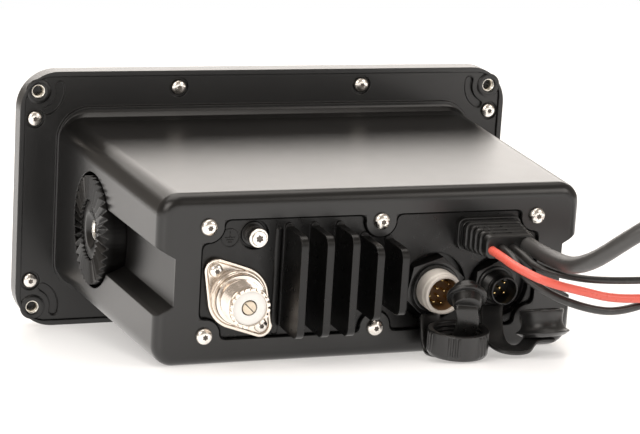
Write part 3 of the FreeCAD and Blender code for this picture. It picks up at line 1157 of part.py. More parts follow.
def handset_tether():
    """Rubber tether: ring on the barrel, strap under and up through the cap's floor, plug at its end."""
    ring_y = NUT_FRONT + SEAT_GAP
    ring = tube(HANDSET_BARREL + TETHER_RING, HANDSET_BARREL + SEAT_GAP, ring_y, ring_y + TETHER_RING_THICK,
                HANDSET_X, HANDSET_Z)
    lying = (0, -0.17, 0.985)
    strap = ribbon([((-22.6, ring_y + 0.9, HANDSET_Z - HANDSET_BARREL - 1.4), (1, 0, 0), (0, 1, 0)),
                    ((-22.6, ring_y + 2.6, HANDSET_Z - 14.5), (1, 0, 0), (0, 1, 0.3)),
                    ((-22.8, ring_y + 3.9, HANDSET_Z - 19.5), (1, 0, 0), (0, 1, 0.5)),
                    ((-23.2, ring_y + 6.2, HANDSET_Z - 22.3), (1, 0, 0), (0, 0.6, 0.8)),
                    ((-23.9, ring_y + 9.6, HANDSET_Z - 22.3), (1, 0, 0), lying),
                    ((CUP_X + 1.6, CUP_Y - 3.9, CUP_BOTTOM - 1.85), (1, 0, 0), lying),
                    ((CUP_X + 0.6, CUP_Y - 1.3, CUP_BOTTOM - 1.4), (1, 0, 0), lying),
                    ((CUP_X, CUP_Y - 0.2, CUP_BOTTOM - 0.5), (1, 0, 0), (0, -0.8, 0.5)),
                    ((CUP_X, CUP_Y + 0.2, CUP_BOTTOM + 1.1), (1, 0, 0), (0, -1, 0)),
                    ((CUP_X - 0.6, CUP_Y + 2.4, CUP_BOTTOM + 7.0), (1, -0.1, 0), (0, -1, 0.3)),
                    ((CUP_X - 1.2, CUP_Y + 4.6, CUP_BOTTOM + 13.0), (1, -0.2, 0), (0, -1, 0.2)),
                    (V(*PLUG_CENTRE) + V(0.9, 2.6, -3.6), (1, -0.2, 0), (0, -1, -0.3)),
                    (V(*PLUG_CENTRE) + V(0.3, 1.4, -1.2), (1, -0.2, 0), (0, -0.6, -0.8))],
                   HANDSET_STRAP, TETHER_THICK)
    return ring.fuse([strap, sealing_plug()])


def handset_cap():
    """Ribbed screw cap, lying open side up, with the strap's hole in its floor."""
    profile = [(CUP_HOLE, 0), (CUP_RADIUS - CUP_EDGE, 0), (CUP_RADIUS - CUP_EDGE * 0.3, CUP_EDGE * 0.3),
               (CUP_RADIUS, CUP_EDGE), (CUP_RADIUS, CUP_HEIGHT), (CUP_BORE, CUP_HEIGHT), (CUP_BORE, CUP_FLOOR),
               (CUP_HOLE, CUP_FLOOR)]
    cup = turned_about(profile, V(CUP_X, CUP_Y, CUP_BOTTOM), UNIT_Z)
    ribs = []
    for group in range(CUP_RIB_GROUPS):
        for k in range(CUP_RIBS_PER_GROUP):
            angle = 360 * group / CUP_RIB_GROUPS + CUP_RIB_PITCH * (k - (CUP_RIBS_PER_GROUP - 1) / 2)
            rib = block(CUP_RADIUS - CUP_RIB, CUP_RADIUS + CUP_RIB, -CUP_RIB, CUP_RIB, CUP_EDGE, CUP_HEIGHT)
            rib.rotate(V(0, 0, 0), UNIT_Z, angle)
            rib.translate(V(CUP_X, CUP_Y, CUP_BOTTOM))
            ribs.append(rib)
    return cup.fuse(ribs)


def network_cap():
    """Push-on rubber cap with its ring and strap, one moulding, lying open side up."""
    ring_y = NUT_FRONT + SEAT_GAP
    ring = tube(NETWORK_BARREL + TETHER_RING, NETWORK_BARREL + SEAT_GAP, ring_y, ring_y + TETHER_RING_THICK,
                NETWORK_X, NETWORK_Z)
    bottom = PUSH_CAP_BOTTOM
    profile = [(0, 0), (PUSH_CAP_DISC_RADIUS - 2.0, 0), (PUSH_CAP_DISC_RADIUS, 1.5),
               (PUSH_CAP_DISC_RADIUS - 1.0, 2.4), (PUSH_CAP_TOP_RADIUS - 0.7, 4.6),
               (PUSH_CAP_TOP_RADIUS, PUSH_CAP_HEIGHT), (PUSH_CAP_BORE, PUSH_CAP_HEIGHT),
               (PUSH_CAP_BORE, PUSH_CAP_FLOOR), (0, PUSH_CAP_FLOOR)]
    cap = turned_about(profile, V(PUSH_CAP_X, PUSH_CAP_Y, bottom), UNIT_Z)
    strap = ribbon([((NETWORK_X + 1.2, ring_y + 0.9, NETWORK_Z - 7.4), (1, 0, 0), (0, 1, 0)),
                    ((NETWORK_X + 3.0, ring_y + 5.0, NETWORK_Z - 11.2), (1, 0, 0), (0, 0.8, 0.6)),
                    ((NETWORK_X + 5.0, ring_y + 12.0, NETWORK_Z - 15.4), (1, 0.1, 0), (0, 0.5, 0.85)),
                    ((NETWORK_X + 4.4, ring_y + 16.6, NETWORK_Z - 17.9), (0.9, 0.4, 0), (0, 0.4, 0.9)),
                    ((NETWORK_X + 1.6, ring_y + 20.0, NETWORK_Z - 18.8), (0.6, 0.8, 0), (0, 0.1, 1)),
                    ((NETWORK_X - 3.4, ring_y + 20.6, NETWORK_Z - 18.4), (0, 1, 0), (0.2, 0, 1)),
                    ((PUSH_CAP_X + 4.0, PUSH_CAP_Y, bottom - 0.8), (0, 1, 0), (0.2, 0, 1)),
                    ((PUSH_CAP_X - 3.0, PUSH_CAP_Y, bottom - 0.6), (0, 1, 0), (0, 0, 1))],
                   NETWORK_STRAP, TETHER_THICK)
    return ring.fuse([strap, cap])


# ---- finished pieces ----
def radio_pieces():
    """Every piece except the cords, in the radio's own axes."""
    pieces = {
        "rear_housing": rear_housing(),
        "corner_inserts": corner_inserts(),
        "pivot_inserts": pivot_inserts(),
        "flange_screws": flange_screws(),
        "rear_screws": rear_screws(),
        "front_trim": front_trim(),
        "front_panel": front_panel(),
        "panel_gasket": panel_gasket(),
        "display_lens": display_lens(),
        "display_module": display_module(),
        "front_board": front_board(),
        "keypad_mat": keypad_mat(),
        "speaker": speaker(),
        "speaker_grille": speaker_grille(),
        "microphone_socket": microphone_socket(),
        "main_board": main_board(),
        "heatsink_plate": heatsink_plate(),
        "heatsink_gasket": heatsink_gasket(),
        "ground_screw": ground_screw(),
        "antenna_socket": antenna_socket(),
        "antenna_insulator": antenna_insulator(),
        "antenna_contact": antenna_contact(),
        "antenna_screws": antenna_screws(),
        "handset_connector": handset_connector(),
        "handset_connector_insert": socket_insert(HANDSET_X, HANDSET_Z, HANDSET_CAVITY, HANDSET_REACH),
        "handset_connector_pins": contact_pins(handset_pin_places(), HANDSET_REACH),
        "handset_connector_nut": socket_nut(HANDSET_X, HANDSET_Z, HANDSET_HEX, HANDSET_BARREL, 43),
        "network_connector": network_connector(),
        "network_connector_insert": socket_insert(NETWORK_X, NETWORK_Z, NETWORK_CAVITY, NETWORK_REACH),
        "network_connector_pins": contact_pins(network_pin_places(), NETWORK_REACH),
        "network_connector_nut": socket_nut(NETWORK_X, NETWORK_Z, NETWORK_HEX, NETWORK_BARREL, 35),
        "cable_grommet": cable_grommet(),
        "handset_tether": handset_tether(),
        "handset_cap": handset_cap(),
        "network_cap": network_cap(),
        "distress_cover": distress_cover(),
        "distress_hinge_pin": distress_hinge_pin(),
        "distress_button": distress_button(),
    }
    for name, z in (("volume", VOLUME_KNOB_Z), ("channel", CHANNEL_KNOB_Z)):
        pieces[name + "_encoder"] = encoder(z)
        pieces[name + "_plunger"] = plunger(z)
        pieces[name + "_shaft"] = shaft(z)
        pieces[name + "_knob"] = knob(z)
    for name, x, z, half_width, half_height in key_places():
        pieces[name] = key_cap(x, z, half_width, half_height)
    return pieces


def set_down(pieces):
    """Lean the pieces back and set them down: z = 0 is the table and the middle of the box is the origin.

    Returns the placed shapes and a function that moves a point in the same way."""
    lean = rest_lean()
    placed = {}
    for name, shape in pieces.items():
        solid = Part.makeCompound(shape) if isinstance(shape, list) else shape.copy()
        solid.rotate(V(0, 0, 0), UNIT_X, -lean)
        placed[name] = solid
    boxes = [shape.optimalBoundingBox(False, False) for shape in placed.values()]
    middle = (min(box.YMin for box in boxes) + max(box.YMax for box in boxes)) / 2
    floor = min(box.ZMin for box in boxes)
    shift = V(0, -middle, -floor)
    for shape in placed.values():
        shape.translate(shift)
    turn = FreeCAD.Rotation(UNIT_X, -lean)
    print("lean %.4f deg, shift y %.4f, z %.4f" % (lean, -middle, -floor))
    return placed, lambda point: turn.multVec(point) + shift


# ---- cords ----
def cord_path(points):
    """Straight runs joined by tangent arcs through the corners, and the radii of the arcs."""
    edges = []
    radii = []
    begin = points[0]
    for before, corner, after in zip(points, points[1:], points[2:]):
        arriving = (corner - before).normalize()
        leaving = (after - corner).normalize()
        turn = arriving.getAngle(leaving)
        setback = CORD_ARC_SHARE * min((corner - before).Length, (after - corner).Length)
        radius = setback / math.tan(turn / 2)
        start = corner - arriving * setback
        stop = corner + leaving * setback
        inward = (leaving - arriving).normalize()
        middle = corner + inward * (radius / math.cos(turn / 2) - radius)
        edges += [Part.LineSegment(begin, start).toShape(), Part.Arc(start, middle, stop).toShape()]
        radii.append(radius)
        begin = stop
    edges.append(Part.LineSegment(begin, points[-1]).toShape())
    return Part.Wire(edges), radii


def cord_tube(name, move):
    diameter, (x, z), first_run, route = CORDS[name]
    exit_point = move(V(x, GROMMET_REACH, z))
    square_point = move(V(x, GROMMET_REACH + first_run, z))
    path, radii = cord_path([exit_point, square_point] + [V(*point) for point in route])
    heading = (square_point - exit_point).normalize()
    level = UNIT_X
    upright = level.cross(heading)
    corners = []
    for k in range(CORD_SIDES):
        angle = 2 * math.pi * k / CORD_SIDES
        corners.append(exit_point + (level * math.cos(angle) + upright * math.sin(angle)) * (diameter / 2))
    solid = path.makePipeShell([Part.makePolygon(corners + corners[:1])], True, False)
    section = CORD_SIDES * diameter ** 2 / 8 * math.sin(2 * math.pi / CORD_SIDES)
    bends = " ".join("%.1f" % (radius / diameter) for radius in radii)
    print("%s: radii in diameters %s, volume / (section x length) %.4f" %
          (name, bends, solid.Volume / (section * path.Length)))
    return solid


def cable_coil():
    """Closed ring that holds the coiled length of all the cords."""
    profile = [(COIL_INNER, 0), (COIL_OUTER, 0), (COIL_OUTER, COIL_HEIGHT - COIL_ROUND),
               (COIL_OUTER - COIL_ROUND, COIL_HEIGHT), (COIL_INNER + COIL_ROUND, COIL_HEIGHT),
               (COIL_INNER, COIL_HEIGHT - COIL_ROUND)]
    return turned_about(profile, V(COIL_X, COIL_Y, COIL_LIFT), UNIT_Z)


def cable_tie():
    """Tie wrapped round the coil's section."""
    inner = COIL_INNER - TIE_GAP
    outer = COIL_OUTER + TIE_GAP
    top = COIL_LIFT + COIL_HEIGHT + TIE_GAP
    half = TIE_WIDTH / 2
    loop = block(inner - TIE_THICK, outer + TIE_THICK, -half, half, 0.05, top + TIE_THICK)
    loop = loop.cut(block(inner, outer, -half - 1, half + 1, -1, top))
    loop.rotate(V(0, 0, 0), UNIT_Z, TIE_ANGLE)
    loop.translate(V(COIL_X, COIL_Y, 0))
    return loop


def main():
    os.makedirs("parts", exist_ok=True)
    placed, move = set_down(radio_pieces())
    for name in CORDS:
        placed[name] = cord_tube(name, move)
    placed["cable_coil"] = cable_coil()
    placed["cable_tie"] = cable_tie()
    for name, shape in placed.items():
        solids = shape.Solids
        good = all(solid.isValid() for solid in solids)
        print("%-28s solids %2d valid %s volume %.1f" % (name, len(solids), good, shape.Volume))
        shape = solids[0] if len(solids) == 1 else Part.makeCompound(solids)
        shape.exportStep("parts/%s.step" % name)


main()
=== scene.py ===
"""Looks of a fixed-mount VHF marine radio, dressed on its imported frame.

Lengths are in metres, z is up and the radio's rear face looks towards +Y.  Places on the leaning radio are
written in its own axes, in millimetres: x right seen from the front, y towards the rear from the flange,
z up from the middle of the face.
"""
import json
from math import atan2, copysign, cos, degrees, pi, radians, sin, sqrt, tau

import bmesh
import bpy
from mathutils import Matrix, Vector

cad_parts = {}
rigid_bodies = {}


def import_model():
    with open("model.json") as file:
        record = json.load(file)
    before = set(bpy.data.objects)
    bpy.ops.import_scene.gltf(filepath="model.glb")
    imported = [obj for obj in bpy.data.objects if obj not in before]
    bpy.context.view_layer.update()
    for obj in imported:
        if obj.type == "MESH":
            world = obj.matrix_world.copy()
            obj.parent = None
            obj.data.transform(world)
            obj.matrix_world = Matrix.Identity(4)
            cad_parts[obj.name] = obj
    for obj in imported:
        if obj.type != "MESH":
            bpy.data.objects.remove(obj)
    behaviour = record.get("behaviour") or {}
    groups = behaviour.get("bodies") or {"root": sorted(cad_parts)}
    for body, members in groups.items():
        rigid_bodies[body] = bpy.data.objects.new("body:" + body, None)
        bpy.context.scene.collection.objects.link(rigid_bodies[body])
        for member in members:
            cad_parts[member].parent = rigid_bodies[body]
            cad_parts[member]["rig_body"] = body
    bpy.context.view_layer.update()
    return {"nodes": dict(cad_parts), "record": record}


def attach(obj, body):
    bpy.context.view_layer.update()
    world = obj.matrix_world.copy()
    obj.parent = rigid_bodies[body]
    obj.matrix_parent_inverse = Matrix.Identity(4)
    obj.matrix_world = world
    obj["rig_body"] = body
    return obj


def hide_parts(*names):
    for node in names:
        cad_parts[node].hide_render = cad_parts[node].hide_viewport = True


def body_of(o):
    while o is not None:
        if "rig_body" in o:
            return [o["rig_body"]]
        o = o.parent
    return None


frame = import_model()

MM = 0.001
NODES = frame["nodes"]
MOUNTS = {mount["name"]: mount for mount in frame["record"]["mounts"]}
SLOTS = {part["node"]: part["material_slot"] for part in frame["record"]["subparts"]}

# ---- the radio's own axes ----
HOLE_MIDDLE_Y = -1.45  # middle of the corner holes, in front of the flange's rear plane
RIGHT = Vector((1, 0, 0))
REAR = Vector(MOUNTS["antenna_thread"]["axis"])
UP = RIGHT.cross(REAR)
CORNERS = [Vector(mount["pos_m"]) for name, mount in MOUNTS.items() if name.startswith("corner_hole")]
ORIGIN = sum(CORNERS, Vector()) / len(CORNERS) - REAR * HOLE_MIDDLE_Y * MM
TURN = Matrix((RIGHT, REAR, UP)).transposed()


def spot(x, y, z):
    """Point of the radio's axes, in millimetres, as a point of the row frame."""
    return ORIGIN + TURN @ Vector((x, y, z)) * MM


def linked(name, data):
    """New object in the scene."""
    thing = bpy.data.objects.new(name, data)
    bpy.context.scene.collection.objects.link(thing)
    return thing


# ---- camera ----
CAMERA_PLACE = (0.31255, 0.83713, 0.12805)
CAMERA_TURN = (84.782, 0.035, 159.381)
CAMERA_LENS = 129.914
CAMERA_SENSOR = 36
CAMERA_CLIP = (0.05, 200)


def add_camera():
    camera = bpy.data.cameras.new("camera")
    camera.lens = CAMERA_LENS
    camera.sensor_width = CAMERA_SENSOR
    camera.clip_start, camera.clip_end = CAMERA_CLIP
    holder = linked("camera", camera)
    holder.location = CAMERA_PLACE
    holder.rotation_euler = [radians(angle) for angle in CAMERA_TURN]
    bpy.context.scene.camera = holder


# ---- cords ----
COIL_MIDDLE = (-166, 66)  # on the table, beside the radio
COIL_START = 96  # degrees at which the cords join the coil
COIL_DROP_START = 385  # where the upper turn begins to sink to the lower one
COIL_DROP_END = 428
COIL_END = 728
COIL_STEP = 15
STRAND_SHARE = 0.27  # radius of the bare strands, as a share of the cord's diameter
STRAND_LENGTH = 7.1
GROMMET_REACH = 140.8  # where the cords leave the grommet
CORDS = {
    # name: diameter, slot, (x, z) of the exit in the radio's axes, length of the straight first run, route
    # in the row frame, and the (radius, height) of the coil's upper and lower turns
    "data_cable": (6.1, "cable_jacket", (-51.4, 14.7), 17, (
        (-50, 129, 37.5), (-61, 150.5, 52.5), (-87, 157, 66.5), (-114, 146, 69),
        (-136, 124.5, 47), (-151.5, 112, 25), (-166, 107.9, 10.2)),
        (42.2, 9.3), (42.2, 3.2)),
    "thin_lead": (2.7, "black_jacket", (-45.3, 13.9), 8, (
        (-47.5, 99, 35), (-58, 110, 32), (-71.5, 113.5, 31), (-93, 116, 31),
        (-114.5, 116, 27), (-134, 113, 20.5), (-150.5, 107, 13.5), (-166, 102.5, 8.6)),
        (37.3, 8.2), (34.2, 8)),
    "red_lead": (3.2, "red_jacket", (-37.2, 13.2), 9, (
        (-38, 102.5, 36), (-45, 111.5, 31.5), (-58, 115, 28), (-71.5, 114, 24.5),
        (-93.5, 115.5, 24.5), (-114.5, 115.5, 20), (-134, 112.5, 14), (-150.5, 107, 8.5),
        (-166, 103, 5)),
        (37.5, 4.9), (37.5, 1.7)),
    "black_lead": (3, "black_jacket", (-41.1, 13.8), 8.5, (
        (-41, 100.5, 33), (-48, 109, 26.5), (-60.5, 113, 21.5), (-73.5, 112.5, 19.5),
        (-91.5, 112, 24), (-113, 111, 20.5), (-133, 108.5, 14), (-150, 103, 8),
        (-165.5, 99.8, 4.8)),
        (34.2, 4.6), (34.2, 1.6)),
}


def coil_points(upper, lower):
    """Turns of a put-away cord: one on top, sinking to one beneath it."""
    x, y = COIL_MIDDLE
    points = []
    angle = COIL_START
    while angle <= COIL_END:
        sunk = min(1, max(0, (angle - COIL_DROP_START) / (COIL_DROP_END - COIL_DROP_START)))
        radius = upper[0] + (lower[0] - upper[0]) * sunk
        height = upper[1] + (lower[1] - upper[1]) * sunk
        turn = radians(angle)
        points.append((x + radius * cos(turn), y + radius * sin(turn), height))
        angle += COIL_STEP
    return points


def bare_tip(name, place, heading, diameter):
    """Stripped strands that show at a lead's far end."""
    form = Form()
    radius = diameter * STRAND_SHARE
    profile = [(radius, -1), (radius, STRAND_LENGTH - 0.9), (radius * 0.8, STRAND_LENGTH - 0.2),
               (radius * 0.4, STRAND_LENGTH)]
    form.stack(turned(profile, (0, 0, 0), heading, 24))
    return add_piece(name + "_strands", form, name, beside=True, finish="copper",
                     place=lambda point: place + Vector(point) * MM)


def add_cords():
    for name, (diameter, slot, (x, z), first_run, route, upper, lower) in CORDS.items():
        start = spot(x, GROMMET_REACH, z)
        points = [start, spot(x, GROMMET_REACH + first_run, z)]
        points += [Vector(point) * MM for point in route + tuple(coil_points(upper, lower))]
        tip = bare_tip(name, points[-1], points[-1] - points[-2], diameter)
        curve = bpy.data.curves.new(name + "_line", "CURVE")
        curve.dimensions = "3D"
        curve.bevel_depth = diameter / 2 * MM
        curve.bevel_resolution = 5
        curve.resolution_u = 6
        curve.use_fill_caps = True
        spline = curve.splines.new("NURBS")
        spline.points.add(len(points) - 1)
        for point, place in zip(spline.points, points):
            point.co = (*place, 1)
        spline.order_u = 3
        spline.use_endpoint_u = True
        curve.materials.append(MATERIALS[slot])
        piece = linked(name + "_curve", curve)
        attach(piece, "root")
        replaced = [name] + (["cable_coil"] if name == "data_cable" else [])
        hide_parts(*replaced)


# ---- material helpers ----
EDGE_FLAT = 0.995  # cosines between the rounded and the true normal, on a face and on an edge
EDGE_SHARP = 0.86


def add_node(tree, kind, links=None, **settings):
    """New shader node; links maps its sockets to values or to other nodes' outputs."""
    node = tree.nodes.new("ShaderNode" + kind)
    for key, value in settings.items():
        setattr(node, key, value)
    for key, value in (links or {}).items():
        if isinstance(value, bpy.types.NodeSocket):
            tree.links.new(value, node.inputs[key])
        else:
            node.inputs[key].default_value = value
    return node


class Look:
    """A node material built round one Principled shader."""

    def __init__(self, name, colour, roughness, metallic=0, specular=0.5):
        self.name = name
        self.material = bpy.data.materials.new(name)
        self.material.use_nodes = True
        self.tree = self.material.node_tree
        self.shader = self.tree.nodes["Principled BSDF"]
        self.set("Base Color", (*colour, 1))
        self.set("Roughness", roughness)
        self.set("Metallic", metallic)
        self.set("Specular IOR Level", specular)
        self.place = self.add("TexCoord").outputs["Object"]

    def set(self, socket, value):
        self.shader.inputs[socket].default_value = value

    def add(self, kind, links=None, **settings):
        return add_node(self.tree, kind, links, **settings)

    def join(self, output, socket):
        self.tree.links.new(output, self.shader.inputs[socket])

    def noise(self, size, detail=3, rough=0.55, stretch=(1, 1, 1)):
        """Noise whose features are about `size` millimetres."""
        mapping = self.add("Mapping", {"Vector": self.place, "Scale": stretch})
        links = {"Vector": mapping.outputs[0], "Scale": 1 / (size * MM), "Detail": detail, "Roughness": rough}
        return self.add("TexNoise", links).outputs["Fac"]

    def cells(self, size):
        """Distance from the edges of cells that are about `size` millimetres wide."""
        links = {"Vector": self.place, "Scale": 1 / (size * MM)}
        return self.add("TexVoronoi", links, feature="DISTANCE_TO_EDGE").outputs["Distance"]

    def span(self, value, low, high, to_low=0, to_high=1):
        links = {"Value": value, "From Min": low, "From Max": high, "To Min": to_low, "To Max": to_high}
        return self.add("MapRange", links).outputs[0]

    def maths(self, kind, first, second=0):
        return self.add("Math", {0: first, 1: second}, operation=kind).outputs[0]

    def times(self, first, second):
        return self.maths("MULTIPLY", first, second)

    def dot(self, first, second):
        links = {0: first, 1: second}
        return self.add("VectorMath", links, operation="DOT_PRODUCT").outputs["Value"]

    def mix(self, share, first, second):
        """Colour between two colours or colour outputs, its sockets 6 and 7."""
        first, second = [part if isinstance(part, bpy.types.NodeSocket) else (*part, 1)
                         for part in (first, second)]
        return self.add("Mix", {0: share, 6: first, 7: second}, data_type="RGBA").outputs[2]

    def paint(self, share, first, second):
        self.join(self.mix(share, first, second), "Base Color")

    def bump(self, height, depth, under=None):
        """Bump of `depth` millimetres, over another normal if one is given."""
        links = {"Height": height, "Distance": depth * MM}
        if under is not None:
            links["Normal"] = under
        self.join(self.add("Bump", links).outputs["Normal"], "Normal")

    def soft_edges(self, radius):
        """Normal of the surface with its sharp edges rounded by `radius` millimetres."""
        return self.add("Bevel", {"Radius": radius * MM}, samples=4).outputs["Normal"]

    def edge_mask(self, radius):
        """1 along sharp outer edges, 0 on open faces."""
        straight = self.add("NewGeometry").outputs["True Normal"]
        return self.span(self.dot(self.soft_edges(radius), straight), EDGE_FLAT, EDGE_SHARP)

    def uneven(self, noise, roughness, below, above, low=0.3):
        """Roughness that wanders with the noise, a little below and above its value."""
        self.join(self.span(noise, low, 0.7, roughness - below, roughness + above), "Roughness")


def scaled(colour, factor, lift=0):
    """Colour made darker or brighter and then lifted."""
    return tuple(min(1, part * factor + lift) for part in colour)


def dusted(colour, tone, share):
    """Colour drawn by a share towards a grey of the given tone."""
    return tuple(part + (tone - part) * share for part in colour)


def moulded(name, colour, roughness, grain=0.28, depth=0.02, mottle=0.25, specular=0.5, edge=0.35):
    """Moulded plastic: fine spark texture, faint flow mottling and softened edges."""
    look = Look(name, colour, roughness, specular=specular)
    flow = look.span(look.noise(22, 4), 0.35, 0.65)
    look.paint(flow, scaled(colour, 1 - mottle), scaled(colour, 1 + mottle))
    look.uneven(look.noise(9, 6, 0.6), roughness, below=0.006, above=0.008)
    look.bump(look.noise(grain, 2, 0.5), depth, look.soft_edges(edge))
    return look


def metal(name, colour, roughness, brush=0.12, depth=0.006, edge=0.12, tarnish=0.15):
    """Turned or plated metal: fine tool marks, faint tarnish in patches and softened edges."""
    look = Look(name, colour, roughness, metallic=1)
    patches = look.span(look.noise(1.8, 5), 0.4, 0.68)
    look.paint(patches, colour, scaled(colour, 1 - tarnish))
    marks = look.noise(brush, 3, 0.6)
    look.uneven(marks, roughness, below=0.05, above=0.09)
    look.bump(marks, depth, look.soft_edges(edge))
    return look


def rubber(name, colour, roughness, dust=0.2, grain=0.5, depth=0.02, edge=0.3):
    """Moulded rubber: soft pebbling, pale dust in patches and a faint sheen."""
    look = Look(name, colour, roughness)
    look.set("Sheen Weight", 0.03)
    look.set("Sheen Roughness", 0.4)
    patches = look.span(look.noise(5, 6, 0.65), 0.5, 0.78)
    look.paint(look.times(patches, dust), colour, dusted(colour, 0.3, 0.45))
    look.uneven(look.noise(2.4, 4), roughness, below=0.05, above=0.08)
    look.bump(look.noise(grain, 3, 0.6), depth, look.soft_edges(edge))
    return look


def casting(name, colour, roughness):
    """Black coated die casting: orange-peel coat over a fine cast grain, edges painted a little brighter in
    patches, partly as rubbed wear and partly as painted highlight.
    """
    look = Look(name, colour, roughness, specular=0.34)
    patches = look.span(look.noise(2, 5), 0.35, 0.65)
    # edges lighter in patches: partly rubbed wear, partly painted highlight
    edges = look.times(look.edge_mask(0.5), patches)
    base = look.mix(look.span(look.noise(12, 4), 0.35, 0.65), scaled(colour, 0.8), colour)
    look.paint(look.times(edges, 0.5), base, scaled(colour, 2.4, 0.03))
    look.uneven(look.noise(3, 5), roughness, below=0.04, above=0.06)
    grain = look.maths("ADD", look.noise(0.45, 3, 0.6), look.times(look.noise(2.2, 2), 0.8))
    look.bump(grain, 0.02, look.soft_edges(0.7))
    return look


def jacket(name, colour, roughness, dust=0.25):
    """Extruded cable jacket: faint lengthwise drag lines and a little dust."""
    look = Look(name, colour, roughness)
    patches = look.span(look.noise(4, 5, 0.6), 0.48, 0.75)
    look.paint(look.times(patches, dust), colour, dusted(colour, 0.34, 0.35))
    look.uneven(look.noise(1.6, 4), roughness, below=0.05, above=0.07)
    look.bump(look.noise(0.7, 3, 0.6, stretch=(0.25, 1, 1)), 0.004)
    return look


def board(name, colour):
    """Solder-masked circuit board with tracks under the mask."""
    look = Look(name, colour, 0.35)
    tracks = look.span(look.cells(2), 0.06, 0.12)
    look.paint(tracks, scaled(colour, 1.7), colour)
    look.bump(tracks, 0.03)
    return look


def display_window(name, colour, roughness):
    """Smoked display window with faint smears."""
    look = Look(name, colour, roughness)
    look.set("IOR", 1.5)
    look.set("Coat Weight", 0.4)
    look.uneven(look.noise(14, 6, 0.6), roughness, below=0.01, above=0.05, low=0.35)
    smears = look.span(look.noise(30, 3), 0.3, 0.7)
    look.paint(smears, (0.008, 0.01, 0.012), (0.016, 0.018, 0.021))
    return look


# side channels of the housing, whose gloss is lowered inside them as painted shade of the recess
CHANNEL_FRONT = 2  # depth and half width of the tapered body near the flange
BODY_HALF_FRONT = 88.4
CHANNEL_REAR = 118  # and near the rear face
BODY_HALF_REAR = 83
CHANNEL_HALF_HEIGHT = 12.6
CHANNEL_STOP = 120.3
CHANNEL_FADE = (0.3, 2.5)  # distance behind the body's side over which the gloss fades
GLOSS_OUTSIDE = 0.5
GLOSS_IN_CHANNEL_SHADE = 0.24


def housing(name, colour, roughness):
    """Housing plastic, its gloss lowered inside the two side channels as painted shade."""
    look = moulded(name, colour, roughness, depth=0.01, edge=0.6)
    place = look.add("NewGeometry").outputs["Position"]
    links = {0: place, 1: tuple(ORIGIN)}
    offset = look.add("VectorMath", links, operation="SUBTRACT").outputs["Vector"]
    depth, height, across = [look.maths("DIVIDE", look.dot(offset, tuple(axis)), MM)
                             for axis in (REAR, UP, RIGHT)]
    side = look.span(depth, CHANNEL_FRONT, CHANNEL_REAR, BODY_HALF_FRONT, BODY_HALF_REAR)
    behind = look.maths("SUBTRACT", side, look.maths("ABSOLUTE", across))
    level = look.span(look.maths("ABSOLUTE", height), CHANNEL_HALF_HEIGHT, CHANNEL_HALF_HEIGHT - 1)
    share = look.times(look.span(behind, *CHANNEL_FADE), level)
    share = look.times(share, look.span(depth, CHANNEL_STOP, CHANNEL_STOP - 0.8))
    # lower gloss inside the channels: painted shade
    look.join(look.span(share, 0, 1, GLOSS_OUTSIDE, GLOSS_IN_CHANNEL_SHADE), "Specular IOR Level")
    return look


MATERIALS = {look.name: look.material for look in (
    housing("housing_plastic", (0.0034, 0.0031, 0.0029), 0.28),
    moulded("trim_plastic", (0.01, 0.01, 0.01), 0.33, edge=0.6),
    moulded("panel_plastic", (0.012, 0.012, 0.013), 0.45),
    metal("screw_steel", (0.8, 0.76, 0.71), 0.22),
    metal("insert_metal", (0.84, 0.81, 0.75), 0.22),
    casting("heatsink_metal", (0.002, 0.0018, 0.0017), 0.3),
    rubber("seal_rubber", (0.012, 0.012, 0.012), 0.6),
    rubber("tether_rubber", (0.0065, 0.0062, 0.0058), 0.3, dust=0.04, depth=0.008),
    metal("nickel", (0.74, 0.67, 0.6), 0.14, depth=0.002, tarnish=0.05),
    moulded("insulator_white", (0.95, 0.93, 0.89), 0.42, mottle=0.02),
    moulded("socket_grey", (0.8, 0.735, 0.66), 0.34, mottle=0.03),
    moulded("insert_brown", (0.16, 0.085, 0.035), 0.5, mottle=0.15),
    metal("contact_gold", (0.9, 0.66, 0.28), 0.2),
    moulded("nut_black", (0.005, 0.0048, 0.0046), 0.28),
    moulded("cap_plastic", (0.0095, 0.009, 0.0088), 0.31),
    rubber("cap_rubber", (0.011, 0.0108, 0.0105), 0.36, dust=0.02, depth=0.002),
    rubber("grommet_rubber", (0.004, 0.0038, 0.0036), 0.32, dust=0.03),
    jacket("cable_jacket", (0.048, 0.046, 0.044), 0.36, dust=0.05),
    jacket("red_jacket", (0.82, 0.135, 0.095), 0.3, dust=0.03),
    jacket("black_jacket", (0.014, 0.013, 0.012), 0.33),
    moulded("tie_plastic", (0.012, 0.012, 0.012), 0.4),
    display_window("display_glass", (0.01, 0.012, 0.014), 0.06),
    metal("display_metal", (0.3, 0.31, 0.32), 0.4),
    board("board_green", (0.01, 0.07, 0.035)),
    moulded("grille_plastic", (0.012, 0.012, 0.012), 0.5),
    rubber("speaker_cone", (0.014, 0.014, 0.014), 0.7),
    rubber("knob_rubber", (0.014, 0.014, 0.015), 0.55),
    metal("shaft_steel", (0.62, 0.62, 0.62), 0.3),
    rubber("key_rubber", (0.035, 0.035, 0.038), 0.55),
    moulded("distress_red", (0.55, 0.022, 0.018), 0.3, mottle=0.06),
    # near-black finish for grooves and gaps: painted shade
    moulded("painted_gap_shade", (0.0012, 0.0012, 0.0012), 0.7, specular=0.06),
    # dark finish for the drive recesses: painted shade
    moulded("painted_recess_shade", (0.16, 0.135, 0.115), 0.45, mottle=0.3),
    metal("contact_pale", (0.62, 0.54, 0.43), 0.42),
    metal("copper", (0.8, 0.42, 0.26), 0.3),
)}


def dress_nodes():
    """Every carried-over node takes the material of its slot."""
    for name, node in NODES.items():
        node.data.materials.clear()
        node.data.materials.append(MATERIALS[SLOTS[name]])


